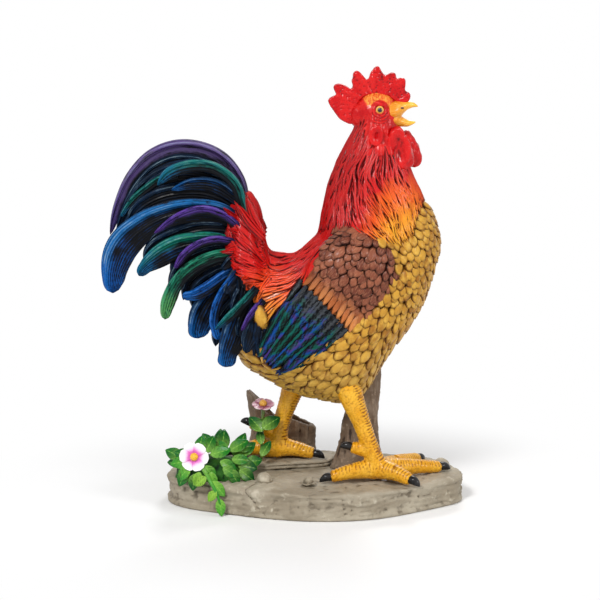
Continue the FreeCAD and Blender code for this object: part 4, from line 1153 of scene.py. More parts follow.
# Black feathers that fill the tail between the painted ones: middle lines as before, then the layer's y
INNER = (
    (((245, 224, 4), (234, 190, 6), (219, 174, 7), (199, 165, 7.5), (178, 164, 7.5), (158, 172, 7),
      (142, 188, 6.5),
      (128, 212, 5), (117, 240, 1.5)), 0.002),
    (((246, 226, 6), (233, 192, 9), (212, 174, 10), (184, 172, 10), (160, 180, 9), (140, 197, 8),
      (128, 216, 3)), 0.003),
    (((248, 232, 6), (234, 208, 9), (212, 196, 10), (184, 194, 10), (158, 200, 10), (138, 214, 8),
      (130, 226, 3)), 0.005),
    (((248, 240, 7), (230, 232, 9), (204, 230, 10), (176, 238, 10), (154, 250, 8), (146, 264, 3)), 0.006),
    (((250, 256, 7), (228, 252, 10), (204, 256, 11), (186, 266, 10), (176, 282, 7), (172, 292, 2)), 0.008),
    (((252, 268, 7), (232, 272, 10), (214, 280, 11), (200, 292, 10), (194, 308, 3)), 0.009),
    (((250, 232, 6), (236, 200, 8), (212, 180, 9), (182, 176, 9), (156, 186, 7), (140, 200, 2)), 0.004),
    (((250, 236, 6), (226, 205, 9), (196, 194, 11), (166, 198, 11), (140, 214, 9), (124, 236, 3)), 0.003),
    (((250, 240, 6), (226, 226, 8), (196, 224, 9), (168, 232, 8), (148, 246, 2)), 0.006),
    (((250, 252, 7), (226, 246, 9), (200, 250, 10), (180, 262, 8), (172, 276, 2)), 0.004),
    (((250, 262, 7), (228, 262, 9), (206, 270, 9), (190, 284, 7), (184, 300, 2)), 0.006),
    (((252, 272, 7), (232, 280, 9), (216, 292, 9), (206, 310, 7), (204, 326, 2)), 0.008),
    (((256, 286, 7), (242, 300, 9), (228, 316, 9), (218, 334, 6), (216, 346, 2)), 0.012),
)

# Dark feathers that hang from under the saddle over the body's rear, on each side
REAR_COVERTS = (
    ((262, 250, 5), (250, 253, 7), (238, 258, 7), (228, 266, 4), (224, 270, 1.5)),
    ((264, 258, 6), (252, 264, 8), (240, 274, 8), (230, 288, 5), (227, 294, 1.5)),
    ((266, 268, 6), (255, 278, 9), (245, 292, 9), (237, 308, 6), (234, 316, 1.5)),
    ((268, 280, 6), (259, 293, 9), (250, 308, 9), (243, 325, 7), (240, 336, 2)),
    ((270, 292, 6), (263, 306, 8), (256, 322, 9), (250, 340, 8), (247, 352, 2)),
)


def make_inner_feathers():
    inner = Rings()
    for index, (pixels, y) in enumerate(INNER):
        for side in (-1, 1):
            tail_blade(inner, side, side * y, 0.006, 7, pixels, index * 0.13 + 0.1, 0.1, 44)
    for index, pixels in enumerate(REAR_COVERTS):
        for side in (-1, 1):
            root_out, out = (abs(body.touch(*pixels[k][:2], side).y) for k in (0, 2))
            tail_blade(inner, side, side * (root_out - 0.004), 0.005, 6, pixels, index * 0.21 + 0.1, 0.12, 32,
                       side * (out + 0.002), 0.5)
    lay_strands(inner, in_rear, rear_flow, REAR_AREA, 91, **REAR_STRANDS)
    plumage(inner, "tail_inner_feathers", "tail_black", "black", "tail_core", in_rear)


make_inner_feathers()


# Legs and feet: middle lines from the knee to the sole and along each toe, with their radii

LEGS = {
    "right": {
        "shank": (((0.0255, -0.022, 0.104), 0.0112), ((0.029, -0.022, 0.091), 0.0098),
                  ((0.037, -0.022, 0.070), 0.0074), ((0.044, -0.022, 0.050), 0.0069),
                  ((0.050, -0.022, 0.033), 0.0086)),
        "toes": (
            (((0.050, -0.022, 0.0312), 0.0086), ((0.030, -0.027, 0.0305), 0.0062),
             ((0.012, -0.0315, 0.0268), 0.0046)),
            (((0.051, -0.022, 0.0316), 0.0088), ((0.064, -0.031, 0.0305), 0.0066),
             ((0.076, -0.040, 0.0268), 0.0048)),
            (((0.052, -0.021, 0.0316), 0.0086), ((0.078, -0.011, 0.0300), 0.0062),
             ((0.103, 0.0, 0.0266), 0.0046)),
            (((0.052, -0.020, 0.0312), 0.0080), ((0.069, 0.003, 0.0300), 0.0060),
             ((0.0865, 0.0255, 0.0266), 0.0046)),
            (((0.047, -0.022, 0.0455), 0.0066), ((0.038, -0.022, 0.0472), 0.0056),
             ((0.0285, -0.022, 0.049), 0.0044)),
        ),
        "ankle": 0.050,
    },
    "left": {
        "shank": (((-0.0130, 0.022, 0.104), 0.0118), ((-0.0160, 0.022, 0.091), 0.0100),
                  ((-0.0215, 0.022, 0.074), 0.0078), ((-0.0275, 0.022, 0.056), 0.0072),
                  ((-0.0315, 0.022, 0.0380), 0.0094)),
        "toes": (
            (((-0.032, 0.022, 0.0366), 0.0088), ((-0.050, 0.022, 0.0368), 0.0062),
             ((-0.0665, 0.022, 0.0334), 0.0046)),
            (((-0.031, 0.022, 0.0382), 0.0088), ((-0.015, 0.0185, 0.0368), 0.0062),
             ((0.0005, 0.0152, 0.0334), 0.0046)),
            (((-0.031, 0.023, 0.0382), 0.0080), ((-0.018, 0.0255, 0.0362), 0.0058),
             ((-0.0065, 0.028, 0.0334), 0.0046)),
            (((-0.034, 0.022, 0.0510), 0.0066), ((-0.043, 0.022, 0.0540), 0.0056),
             ((-0.0525, 0.022, 0.0575), 0.0044)),
        ),
        "ankle": 0.056,
    },
}


def tube(rings, knots, stations=20, around=16, flatten=1.0):
    """A round limb along these points and radii."""
    line = smooth_line([(*point, radius) for point, radius in knots], stations)
    last = stations - 1
    loops = []
    for index, knot in enumerate(line):
        ahead = (Vector(line[min(index + 1, last)][:3]) - Vector(line[max(index - 1, 0)][:3])).normalized()
        side = ahead.cross(Vector((0, 1, 0)) if abs(ahead.y) < 0.8 else Vector((1, 0, 0))).normalized()
        up = side.cross(ahead)
        share = index / last
        radius = knot[3] * (1 if 0 < index < last else 0.6)
        loop = []
        for k in range(around):
            angle = 2 * math.pi * k / around
            loop.append(Vector(knot[:3]) + side * (radius * math.cos(angle))
                        + up * (radius * flatten * math.sin(angle)))
        loops.append(loop)
    rings.add(loops, [k / around for k in range(around)], 0.5, None, 1.0)


def nearest_on(lines, point):
    """Which line is nearest for its radius, how far along it, and the way from it to the point."""
    best = None
    for number, line in enumerate(lines):
        travelled = 0.0
        for (start, r0), (end, r1) in zip(line, line[1:]):
            start, end = Vector(start), Vector(end)
            span = end - start
            share = limited((point - start).dot(span) / span.length_squared)
            away = point - (start + span * share)
            reach = away.length / (r0 + (r1 - r0) * share)
            if best is None or reach < best[0]:
                best = (reach, number, travelled + share * span.length, away, span.normalized())
            travelled += span.length
    return best


def scute_relief(lines, place, normal):
    """Overlapping plates down the front of the shank and over the toes, and small pebbles elsewhere."""
    reach, number, along, away, way = nearest_on(lines, place)
    front = Vector((1, 0, 0)) if number == 0 else Vector((0, 0, 1))
    front = (front - way * front.dot(way)).normalized()
    facing = normal.dot(front)
    plate = 0.0024 if number == 0 else 0.0027
    phase = along / plate + 0.5 * noise.noise(place * 130)
    saw = 1 - (phase - math.floor(phase))
    saw = saw if saw < 0.86 else (1 - saw) * 6
    cell = noise.voronoi(place * 420)[0]
    pebble = 0.35 + 0.5 * limited((cell[1] - cell[0]) * 2.6)
    plates = eased(facing, 0.15, 0.55) if number == 0 else eased(facing, -0.1, 0.4) * 0.7
    height = plates * saw + (1 - plates) * pebble
    return 0.0009 * (height - 0.5), height


def make_leg(side_name):
    leg = LEGS[side_name]
    form = Rings()
    tube(form, leg["shank"], 26)
    for toe in leg["toes"]:
        tube(form, toe)
    sole = Vector(leg["shank"][-1][0])
    tube(form, ((sole, 0.0080), (sole - Vector((0, 0, 0.0085)), 0.0078)), 6)
    obj = remeshed(form.made(), 0.0010, 7)
    lines = [leg["shank"]] + list(leg["toes"])
    obj = sculpted(obj, lambda place, normal: scute_relief(lines, place, normal))
    lower = obj.copy()
    lower.data = obj.data.copy()
    bpy.context.scene.collection.objects.link(lower)
    for part, upper in ((obj, True), (lower, False)):
        cut = {"plane_co": (0, 0, leg["ankle"]), "plane_no": (0, 0, 1), "use_fill": True,
               "clear_inner": upper, "clear_outer": not upper}
        edited(part, (bpy.ops.mesh.bisect, cut), OUTWARD)
    piece(obj, f"{side_name}_scaled_shank", "leg_yellow", PAINTS["legs"], f"{side_name}_shank")
    piece(lower, f"{side_name}_foot", "leg_yellow", PAINTS["legs"], f"{side_name}_toes")
    claws = Rings()
    for toe in leg["toes"]:
        (before, r0), (tip, radius) = toe[-2:]
        way = (Vector(tip) - Vector(before)).normalized()
        drop = Vector((0, 0, -0.0016))
        points = [Vector(tip) - way * 0.002, Vector(tip) + way * 0.003 + Vector((0, 0, 0.0006)),
                  Vector(tip) + way * 0.0062 + drop * 0.3, Vector(tip) + way * 0.0085 + drop * 1.1]
        tube(claws, list(zip(points, (radius * 0.72, radius * 0.74, radius * 0.5, 0.0006))), 12, 12)
    piece(claws.made(), f"{side_name}_nails", "claw_black", PAINTS["claws"], f"{side_name}_claws")


for side_name, side in SIDES:
    make_leg(side_name)


# Rock, trunk and stump

def rock_relief(place, normal):
    side = 1 - abs(normal.z)
    warp = 0.004 * noise.noise(place * 30)
    layer = (place.z + warp) / 0.0042
    step = math.floor(layer)
    broken = noise.noise(Vector((place.x * 14, place.y * 14, step * 3.7)))
    groove = math.exp(-(((layer - step) / 0.13) ** 2))
    broad = noise.fractal(place * 22, 0.9, 2.0, 4)
    fine = noise.fractal(place * 150, 0.8, 2.0, 3)
    cell = noise.voronoi(place * 34)[0]
    crack = math.exp(-(((cell[1] - cell[0]) / 0.045) ** 2)) * eased(noise.noise(place * 17), 0.0, 0.3)
    rim = noise.noise(Vector((place.x * 45, place.y * 45, place.z * 20)))
    height = side * (0.0022 * broken - 0.0015 * groove + 0.0026 * rim) + 0.0015 * broad + 0.0006 * fine
    height = (height - 0.0012 * crack) * eased(place.z, 0.0, 0.002)
    raised = limited(0.52 + 0.3 * broken * side + 0.4 * fine + 0.3 * broad - 0.22 * groove * side
                     - 0.7 * crack)
    return height - 0.0030 * side, raised


def make_slab(node, segments, name, voxel):
    """A slab with the node's own outline, worn and layered like slate."""
    low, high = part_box(node)
    middle = (low + high) / 2
    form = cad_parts[node]
    tree = BVHTree.FromPolygons([v.co for v in form.data.vertices], [p.vertices for p in form.data.polygons])
    bpy.ops.mesh.primitive_circle_add(vertices=segments, radius=0.5, fill_type="NGON",
                                      location=(middle.x, middle.y, low.z))
    obj = bpy.context.object
    bpy.ops.object.transform_apply(location=True, rotation=True, scale=True)
    for vertex in obj.data.vertices:
        way = Vector((middle.x - vertex.co.x, middle.y - vertex.co.y, 0)).normalized()
        start = Vector((vertex.co.x, vertex.co.y, middle.z))
        vertex.co = tree.ray_cast(start, way)[0]
        vertex.co.z = low.z
    rise = {"value": (0, 0, high.z - low.z)}
    edited(obj, (bpy.ops.mesh.extrude_region_move, {"TRANSFORM_OT_translate": rise}),
           (bpy.ops.mesh.select_all, {"action": "SELECT"}), OUTWARD)
    modified(obj, "BEVEL", width=0.0035, segments=3, limit_method="ANGLE")
    obj = remeshed(obj, voxel, 3)
    sculpted(obj, rock_relief)
    for vertex in obj.data.vertices:
        vertex.co.z = max(vertex.co.z, low.z)
    return piece(obj, name, "rock", PAINTS["rock"], node)


make_slab("rock_base", 120, "slate_slab", 0.0013)
make_slab("foot_ledge", 72, "slate_ledge", 0.0011)
stones = remeshed(copy_of("base_stones"), 0.0009, 2)
sculpted(stones, rock_relief)
piece(stones, "loose_stones", "rock", PAINTS["rock"], "base_stones")


def bark_relief(place, normal):
    around = Vector((place.x * 230, place.y * 230, place.z * 34))
    ridges = noise.ridged_multi_fractal(around, 0.9, 2.1, 4, 1.0, 2.0)
    broad = noise.noise(place * 55)
    fine = noise.fractal(place * 260, 0.8, 2.0, 3)
    side = 1 - abs(normal.z) * 0.5
    height = 0.0020 * side * (limited(ridges * 0.55) - 0.5) + 0.0012 * broad + 0.0004 * fine
    return height, limited(ridges * 0.5 + 0.3 * fine)


def tear_tip(stump):
    """Tears the stump's tall splinter down to a slanting point."""
    for vertex in stump.data.vertices:
        torn = 0.079 - 1.15 * max(0.0, vertex.co.x + 0.0545) + 0.0022 * noise.noise(vertex.co * 160)
        if -0.060 < vertex.co.x < -0.028 and vertex.co.z > torn:
            vertex.co.z = torn


def make_bark(node, name):
    bark = sculpted(remeshed(copy_of(node), 0.0010, 3), bark_relief)
    if node == "hollow_stump":
        tear_tip(bark)
    piece(bark, name, "bark", PAINTS["bark"], node)


make_bark("tree_trunk", "bark_trunk")
make_bark("hollow_stump", "broken_stump")


# Head

eyes_low, eyes_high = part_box("eyes")
EYE_RADIUS = (eyes_high.x - eyes_low.x) / 2
EYE_X = (eyes_low.x + eyes_high.x) / 2
EYE_Z = (eyes_low.z + eyes_high.z) / 2
EYE_Y = eyes_high.y - EYE_RADIUS
BROW = seen(376, 105, 0.009)
NOSTRIL = seen(399.5, 112, 0.003)


def ball(centre, halves, turn=0.0, segments=48):
    """A sphere scaled to these half sizes, turned about Y, with its place in the mesh."""
    bpy.ops.mesh.primitive_uv_sphere_add(segments=segments, ring_count=segments // 2, radius=1,
                                         location=centre, rotation=(0, turn, 0), scale=halves)
    bpy.ops.object.transform_apply(location=True, rotation=True, scale=True)
    return bpy.context.object


def ring_round(x, y, z, radius, thick, lean):
    """A ring that stands round an eye."""
    bpy.ops.mesh.primitive_torus_add(major_segments=40, minor_segments=12, major_radius=radius,
                                     minor_radius=thick, location=(x, y, z),
                                     rotation=(math.radians(90) + lean, 0, 0))
    bpy.ops.object.transform_apply(location=True, rotation=True, scale=True)
    return bpy.context.object


def face_paint():
    paint = Paint("brow_and_face_paint", **SKIN_VARNISH)
    place = paint.place()
    relief = paint.attribute("relief")
    blotch = paint.noise(place, 120, 4.0)
    fine = paint.noise(place, 620, 3.0)
    streaks = paint.noise(paint.scaled(place, 1.2, 0.4, 0.25), 900, 2.0)
    red = paint.mix(paint.ease(blotch, 0.35, 0.7), rgb(180, 4, 12), rgb(208, 30, 26))
    orange = paint.mix(paint.ease(streaks, 0.35, 0.65), rgb(206, 74, 24), rgb(246, 158, 66))
    reach = paint.gap(place, tuple(BROW), 1 / 0.0112, 0, 1 / 0.0078)
    lid = paint.gap(place, (EYE_X, 0, EYE_Z), 1 / EYE_RADIUS, 0, 1 / EYE_RADIUS)
    outside = paint.ease(reach + (blotch - 0.5) * 0.5, 0.85, 1.1)
    body = paint.mix(paint.ease(lid, 2.0, 2.4), red, paint.mix(outside, orange, red))
    # Painted shade: dark red in the low places of the wrinkles and folds
    body = paint.mix(paint.ease(relief + (fine - 0.5) * 0.3, 0.15, 0.5), rgb(112, 2, 10), body)
    height = fine + streaks * 0.5
    return paint.done(Base_Color=body, Roughness=paint.roughness(fine, 0.24, 0.4),
                      Normal=paint.bump(height, 0.0005, 0.4))


def eye_paint():
    """Black pupil, golden ring and a thin dark line round it."""
    paint = Paint("eye_paint", Coat_Weight=0.4, Coat_Roughness=0.03, Roughness=0.2)
    place = paint.place()
    grain = paint.noise(place, 1500, 3.0)
    away = paint.gap(place, (EYE_X, 0, EYE_Z), 1 / EYE_RADIUS, 0, 1 / EYE_RADIUS)
    colour = paint.ramp(away + (grain - 0.5) * 0.12,
                        (0.0, rgb(6, 6, 6)), (0.5, rgb(8, 7, 6)), (0.56, rgb(214, 150, 50)),
                        (0.8, rgb(240, 198, 96)), (0.92, rgb(150, 60, 20)), (1.0, rgb(60, 10, 8)))
    return paint.done(Base_Color=colour, Roughness=paint.roughness(grain, 0.08, 0.18),
                      Normal=paint.bump(grain, 0.0002, 0.2))


def horn_paint():
    """Beak yellow, paler at the tip, browner at the root, with painted shade for the nostril openings, which
    are not modelled.
    """
    paint = Paint("horn_paint", Coat_Weight=0.2, Coat_Roughness=0.1, Specular_IOR_Level=0.25)
    place = paint.place()
    grain = paint.noise(paint.scaled(place, 0.3, 1, 1.6), 600, 4.0)
    forward = paint.ease(paint.part(place, "X"), 0.060, 0.080)
    colour = paint.mix(forward, rgb(222, 134, 26), rgb(246, 186, 56))
    colour = paint.mix(paint.ease(grain, 0.5, 0.75) * 0.6, colour, rgb(252, 216, 120))
    # Painted shade: a dark brown spot at each nostril, where the opening would be
    hole = paint.ease(paint.gap(place, tuple(NOSTRIL), 1 / 0.0017, 0, 1 / 0.0009), 0.7, 1.1)
    colour = paint.mix(hole, rgb(70, 24, 8), colour)
    return paint.done(Base_Color=colour, Roughness=paint.roughness(grain, 0.24, 0.4),
                      Normal=paint.bump(grain, 0.0004, 0.4))


PAINTS["head"] = face_paint()
PAINTS["eye"] = eye_paint()
PAINTS["horn"] = horn_paint()


def head_relief(place, normal):
    """A thick lid over each eye, folds in arcs under it, and a fine grain."""
    across, up = place.x - EYE_X, place.z - EYE_Z
    away = math.hypot(across, up)
    flank = eased(abs(normal.y), 0.25, 0.6)
    lid = math.exp(-(((up - EYE_RADIUS - 0.0008 + 0.24 * across) / 0.0013) ** 2))
    lid *= 1 - eased(abs(across), 0.0042, 0.0074)
    reach = eased(-up, 0.0, 0.003) * (1 - eased(away, 0.0105, 0.0125))
    reach *= 1 - eased(abs(across), 0.005, 0.009)
    arcs = (0.5 + 0.5 * math.cos(2 * math.pi * (away - 0.0052) / 0.0023)) * reach
    grain = noise.noise(place * 420)
    fold = noise.noise(Vector((place.x * 170, place.y * 170, place.z * 90)))
    fold *= eased(0.306 - place.z, 0, 0.006)
    height = flank * (0.0024 * lid + 0.0011 * (arcs - 0.3 * reach)) + 0.00025 * grain + 0.0009 * fold
    return height, limited(0.6 + flank * (0.3 * lid + 0.6 * (arcs - 0.6 * reach)) + 0.2 * grain + 0.5 * fold)


def comb_relief(place, normal):
    """Folds that run out into the points, and small pits between them."""
    across, up = place.x - EYE_X, place.z - EYE_Z
    fold = noise.noise(Vector((math.atan2(up, across) * 9, math.hypot(across, up) * 60, place.y * 40)))
    pit = limited(1 - noise.voronoi(place * 520)[0][0] * 2.2)
    broad = noise.noise(place * 130)
    height = 0.0006 * broad + 0.0009 * fold - 0.0008 * pit + 0.0001
    return height, limited(0.76 + 0.5 * fold + 0.2 * broad - 0.7 * pit)


def dish_relief(centre, halves, side):
    """Low in the middle of the outer face, with a rolled rim and fine folds."""
    def relief(place, normal):
        away = math.hypot((place.x - centre.x) / halves[0], (place.z - centre.z) / halves[2])
        facing = eased(normal.y * side, 0.15, 0.6)
        rim = math.exp(-(((away - 0.84) / 0.14) ** 2))
        dip = 1 - eased(away, 0.25, 0.8)
        fold = noise.noise(Vector((place.x * 420, place.y * 120, place.z * 260)))
        height = facing * (0.0013 * rim - 0.0040 * dip) + 0.0006 * fold
        return height, limited(0.76 + 0.3 * rim * facing - 0.36 * dip * facing + 0.4 * fold)
    return relief


def kept_inside(obj):
    """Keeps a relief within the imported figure's own box."""
    for vertex in obj.data.vertices:
        vertex.co = [limited(value, low, high) for value, low, high in zip(vertex.co, *cad_box)]


# The round ends of the comb's points
COMB_KNOBS = ((332.6, 105.0), (339.6, 93.4), (356.4, 82.6), (375.2, 79.4), (389.6, 83.6), (398.8, 88.8),
              (402.6, 98.8))


def make_head():
    collar = copy_of("neck")
    edited(collar, (bpy.ops.mesh.bisect, {"plane_co": seen(380, 156), "plane_no": (0, 0, 1), "use_fill": True,
                                          "clear_inner": True}))
    parts = [copy_of("head"), collar, ball(seen(380, 132), (0.0116, 0.0128, 0.0165), 0.35),
             ball(seen(358, 119), (0.0078, 0.0080, 0.0100))]
    for side_name, side in SIDES:
        parts.append(ring_round(EYE_X, side * (EYE_Y + 0.0008), EYE_Z + 0.0003, EYE_RADIUS + 0.0006, 0.0013,
                                side * 0.25))
    head = remeshed(joined(parts), 0.0007, 8)
    sculpted(head, head_relief)
    piece(head, "wrinkled_face", "face_red", PAINTS["head"], "head")
    balls = [ball((EYE_X, side * (EYE_Y + 0.0012), EYE_Z), (EYE_RADIUS,) * 3) for side_name, side in SIDES]
    eyes = sculpted(joined(balls), lambda place, normal: (
        0.0003 * math.exp(-((math.hypot(place.x - EYE_X, place.z - EYE_Z) / 0.0018) ** 2)), 0.5))
    piece(eyes, "painted_eyes", "eye_paint", PAINTS["eye"], "eyes")
    comb_root = ball(seen(377, 97.5), (0.0120, 0.0034, 0.0034))
    knobs = [ball(seen(column, row), (0.0026, 0.0032, 0.0026)) for column, row in COMB_KNOBS]
    comb = remeshed(joined([copy_of("comb"), comb_root] + knobs), 0.0006, 7)
    sculpted(comb, comb_relief)
    kept_inside(comb)
    piece(comb, "pitted_comb", "face_red", PAINTS["face"], "comb")


BEAKS = {
    "upper_beak": (((386, 114.5), 0.0082), ((392.5, 113.5), 0.0078), ((398, 111.2), 0.0058),
                   ((404, 109.2), 0.0037),
                   ((410, 108.8), 0.0022), ((415.3, 110.4), 0.0005)),
    "lower_beak": (((386, 121), 0.0062), ((392.5, 122.6), 0.0060), ((398, 124.8), 0.0042),
                   ((406, 126.4), 0.0025),
                   ((413, 125.4), 0.0006)),
}


def make_beak(node, knots):
    form = Rings()
    tube(form, [(seen(column, row), radius) for (column, row), radius in knots], 30, 28, 1.38)
    horn = sculpted(form.made(), lambda place, normal: (0.00022 * noise.noise(place * 260), 0.5))
    piece(horn, f"{node}_horn", "beak_yellow", PAINTS["horn"], node)


WATTLES = {"right": (seen(396, 151.5, -0.0130), (0.0098, 0.0062, 0.0176), 0.26),
           "left": (seen(407, 154.5, 0.0100), (0.0092, 0.0058, 0.0152), 0.30)}
LOBE_HALVES = (0.0056, 0.0064, 0.0082)


def make_wattles(side_name, side):
    centre, halves, turn = WATTLES[side_name]
    wattle = ball(centre, halves, -turn, 96)
    for vertex in wattle.data.vertices:
        drop = (centre.z - vertex.co.z) / halves[2]
        vertex.co.x = centre.x + (vertex.co.x - centre.x) * (1 + 0.34 * drop)
    sculpted(wattle, dish_relief(centre, halves, side))
    piece(wattle, f"{side_name}_dished_wattle", "face_red", PAINTS["face"], f"{side_name}_wattle")
    centre = seen(373.6, 140.3, side * 0.0160)
    lobe = sculpted(ball(centre, LOBE_HALVES, 0.1, 64), dish_relief(centre, LOBE_HALVES, side))
    piece(lobe, f"{side_name}_dished_lobe", "face_red", PAINTS["face"], f"{side_name}_ear_lobe")


make_head()
for node, knots in BEAKS.items():
    make_beak(node, knots)
for side_name, side in SIDES:
    make_wattles(side_name, side)


# Leaves, vine and flowers

def leaf_paint():
    paint = Paint("leaf_paint", **SKIN_VARNISH)
    uv = paint.uv()
    tone = paint.attribute("tone")
    relief = paint.attribute("relief")
    mottle = paint.noise(paint.place(), 260, 3.0)
    colour = paint.ramp(tone, (0.0, rgb(10, 74, 28)), (0.35, rgb(30, 118, 36)), (0.65, rgb(66, 152, 44)),
                        (1.0, rgb(156, 190, 60)))
    middle = paint.ease(paint.part(uv, "Y") + (mottle - 0.5) * 0.4, 0.0, 0.8)
    colour = paint.mix(middle, paint.mix(0.5, colour, rgb(150, 196, 80)), colour)
    # Painted shade: dark green in the low places between the veins
    colour = paint.mix(paint.ease(relief + (mottle - 0.5) * 0.5, 0.05, 0.5), rgb(6, 46, 18), colour)
    colour = paint.mix(paint.ease(relief, 0.75, 0.98) * 0.7, colour, rgb(150, 200, 90))
    return paint.done(Base_Color=colour, Roughness=paint.roughness(mottle, 0.24, 0.42),
                      Normal=paint.bump(mottle, 0.0004, 0.4))


def petal_paint(name, *stops):
    """Petal colours from the root to the rim, with fine lines along."""
    paint = Paint(name, Coat_Weight=0.3, Coat_Roughness=0.2)
    uv = paint.uv()
    lines = paint.noise(paint.vector(paint.part(uv, "X") * 14, paint.part(uv, "Y") * 2, 0), 1.8, 3.0)
    colour = paint.ramp(paint.part(uv, "Y") + (lines - 0.5) * 0.22, *stops)
    return paint.done(Base_Color=colour, Roughness=paint.roughness(lines, 0.34, 0.5),
                      Normal=paint.bump(lines, 0.0004, 0.5))


def button_paint(name, centre, colour):
    """A flower's centre in its own colour, on a green stalk."""
    paint = Paint(name, Coat_Weight=0.3, Coat_Roughness=0.2)
    place = paint.place()
    relief = paint.attribute("relief")
    fine = paint.noise(place, 900, 3.0)
    near = paint.ease(paint.gap(place, tuple(centre), 1, 1, 1), 0.0036, 0.0046)
    main = paint.mix(near, colour, rgb(52, 108, 34))
    # Painted shade: darker orange in the low places of the centre's relief
    main = paint.mix(paint.ease(relief + (fine - 0.5) * 0.4, 0.1, 0.6), rgb(196, 120, 24), main)
    return paint.done(Base_Color=main, Roughness=paint.roughness(fine, 0.4, 0.6),
                      Normal=paint.bump(fine, 0.0004, 0.5))


def leaf_width(share):
    return math.sin(math.pi * (0.04 + 0.94 * share**0.85)) ** 0.85


def petal_width(share):
    return limited(0.3 + 1.25 * share) * (1 - share**5) ** 0.45 + 0.04


def add_leaf(rings, base, forward, facing, length, width, shape, tone, fold=0.25, curl=0.18, steps=10):
    """A blade folded along its midrib, with side veins, that curls down towards its tip."""
    facing = facing.normalized()
    forward = (forward - facing * forward.dot(facing)).normalized()
    side = facing.cross(forward)
    marks = [k / 4 - 1 for k in range(9)]
    loops, relief = [], []
    for index in range(steps + 1):
        share = index / steps
        half = width / 2 * shape(share)
        middle = base + forward * (length * share) - facing * (curl * length * share * share)
        top, bottom, raised = [], [], []
        for mark in marks:
            midrib = math.exp(-((mark / 0.16) ** 2))
            veins = 0.5 + 0.5 * math.cos(2 * math.pi * (share * 5 - abs(mark) * 1.1))
            spot = middle + side * (mark * half)
            spot += facing * (fold * abs(mark) * half + 0.0003 * veins * (1 - abs(mark)))
            top.append(spot)
            bottom.append(spot - facing * 0.0008)
            raised.append(limited(0.25 + 0.4 * veins + 0.6 * midrib))
        loops.append(top + bottom[::-1])
        relief.append(raised + raised[::-1])
    u = [(mark + 1) / 2 for mark in marks]
    rings.add(loops, u + u[::-1], tone, relief)


# Leaves of the clump: pixel column and row of the root, how far out, heading in degrees, length and width
# in pixels, and tone from dark to yellow green
CLUMP_LEAVES = (
    (194, 456, -0.030, 148, 22, 13, 0.3), (192, 460, -0.033, 182, 22, 13, 0.5),
    (191, 465, -0.036, 214, 19, 12, 0.65), (200, 452, -0.027, 98, 20, 12, 0.25),
    (206, 452, -0.026, 66, 22, 13, 0.15), (211, 454, -0.027, 34, 22, 13, 0.4),
    (206, 464, -0.036, 318, 19, 12, 0.55), (214, 452, -0.012, 104, 24, 13, 0.15),
    (221, 452, -0.011, 76, 26, 14, 0.05), (229, 452, -0.009, 50, 23, 13, 0.3),
    (236, 450, -0.006, 20, 20, 12, 0.12), (227, 454, -0.016, 122, 21, 12, 0.4),
    (238, 458, -0.006, 62, 24, 13, 0.2), (243, 462, -0.004, 96, 22, 12, 0.3),
    (238, 464, -0.022, 352, 21, 14, 0.1), (240, 469, -0.028, 330, 19, 13, 0.05),
    (230, 468, -0.033, 305, 19, 12, 0.2),
    (246, 464, -0.010, 20, 18, 12, 0.15), (224, 466, -0.036, 338, 18, 12, 0.35),
    (188, 468, -0.034, 238, 19, 12, 0.2),
    (196, 472, -0.038, 262, 17, 11, 0.1), (182, 458, -0.022, 132, 20, 13, 0.15),
    (221, 460, -0.030, 342, 19, 11, 0.45), (232, 459, -0.023, 8, 19, 11, 0.3),
    (201, 470, -0.039, 250, 16, 10, 0.75), (212, 470, -0.038, 285, 18, 10, 0.7),
    (183, 463, -0.018, 165, 17, 11, 0.12), (218, 456, -0.006, 90, 30, 14, 0.1),
    (233, 458, -0.004, 70, 30, 13, 0.2), (206, 456, -0.014, 118, 24, 12, 0.2),
    (262, 430, 0.000, 56, 23, 15, 0.0), (262, 433, 0.000, 118, 22, 14, 0.02),
    (261, 446, -0.002, 100, 18, 9, 0.0),
    (261, 458, -0.006, 78, 20, 10, 0.05),
)
VINE_LEAVES = (
    (208, 474, -0.044, 208, 15, 9, 0.85), (214, 478, -0.049, 318, 20, 11, 0.7),
    (218, 487, -0.052, 222, 14, 9, 0.9), (221, 495, -0.051, 282, 18, 10, 0.75),
)
FLOWER_FACING = {"front": Vector((-0.05, -1, 0.25)), "rear": Vector((0, -0.3, 1))}
PETAL_COUNT = 6
PAINTS["leaf"] = leaf_paint()


def lay_leaves(rings, leaves, seed):
    chooser = random.Random(seed)
    for column, row, y, heading, length, width, tone in leaves:
        angle = math.radians(heading)
        forward = Vector((math.cos(angle), -0.25 + chooser.uniform(-0.3, 0.2), math.sin(angle)))
        facing = Vector((0.35 * math.cos(angle) + chooser.uniform(-0.2, 0.2), -1,
                         0.45 + 0.3 * math.sin(angle)))
        add_leaf(rings, seen(column, row, y), forward, facing, length * PIXEL, width * PIXEL, leaf_width,
                 limited(tone + chooser.uniform(-0.08, 0.08)))


def make_clump():
    mound = ball((-0.082, -0.008, 0.0215), (0.030, 0.0185, 0.0175), 0.0, 96)
    sculpted(mound, lambda place, normal: (0.0022 * noise.fractal(place * 90, 0.8, 2.0, 4),
                                           limited(0.5 + noise.noise(place * 240))))
    piece(mound, "mossy_mound", "leaf_green", PAINTS["moss"])
    leaves = Rings()
    lay_leaves(leaves, CLUMP_LEAVES, 71)
    piece(leaves.made(), "clump_leaves", "leaf_green", PAINTS["leaf"], "front_leaves")


def make_vine():
    vine = Rings()
    stem = ((seen(203, 466, -0.034), 0.0014), (seen(209, 473, -0.044), 0.0015),
            (seen(214, 481, -0.0495), 0.0014),
            (seen(219, 491, -0.0515), 0.0012), (seen(222, 501, -0.051), 0.0008))
    tube(vine, stem, 24, 10)
    lay_leaves(vine, VINE_LEAVES, 73)
    piece(vine.made(), "trailing_vine", "leaf_green", PAINTS["leaf"], "vine")


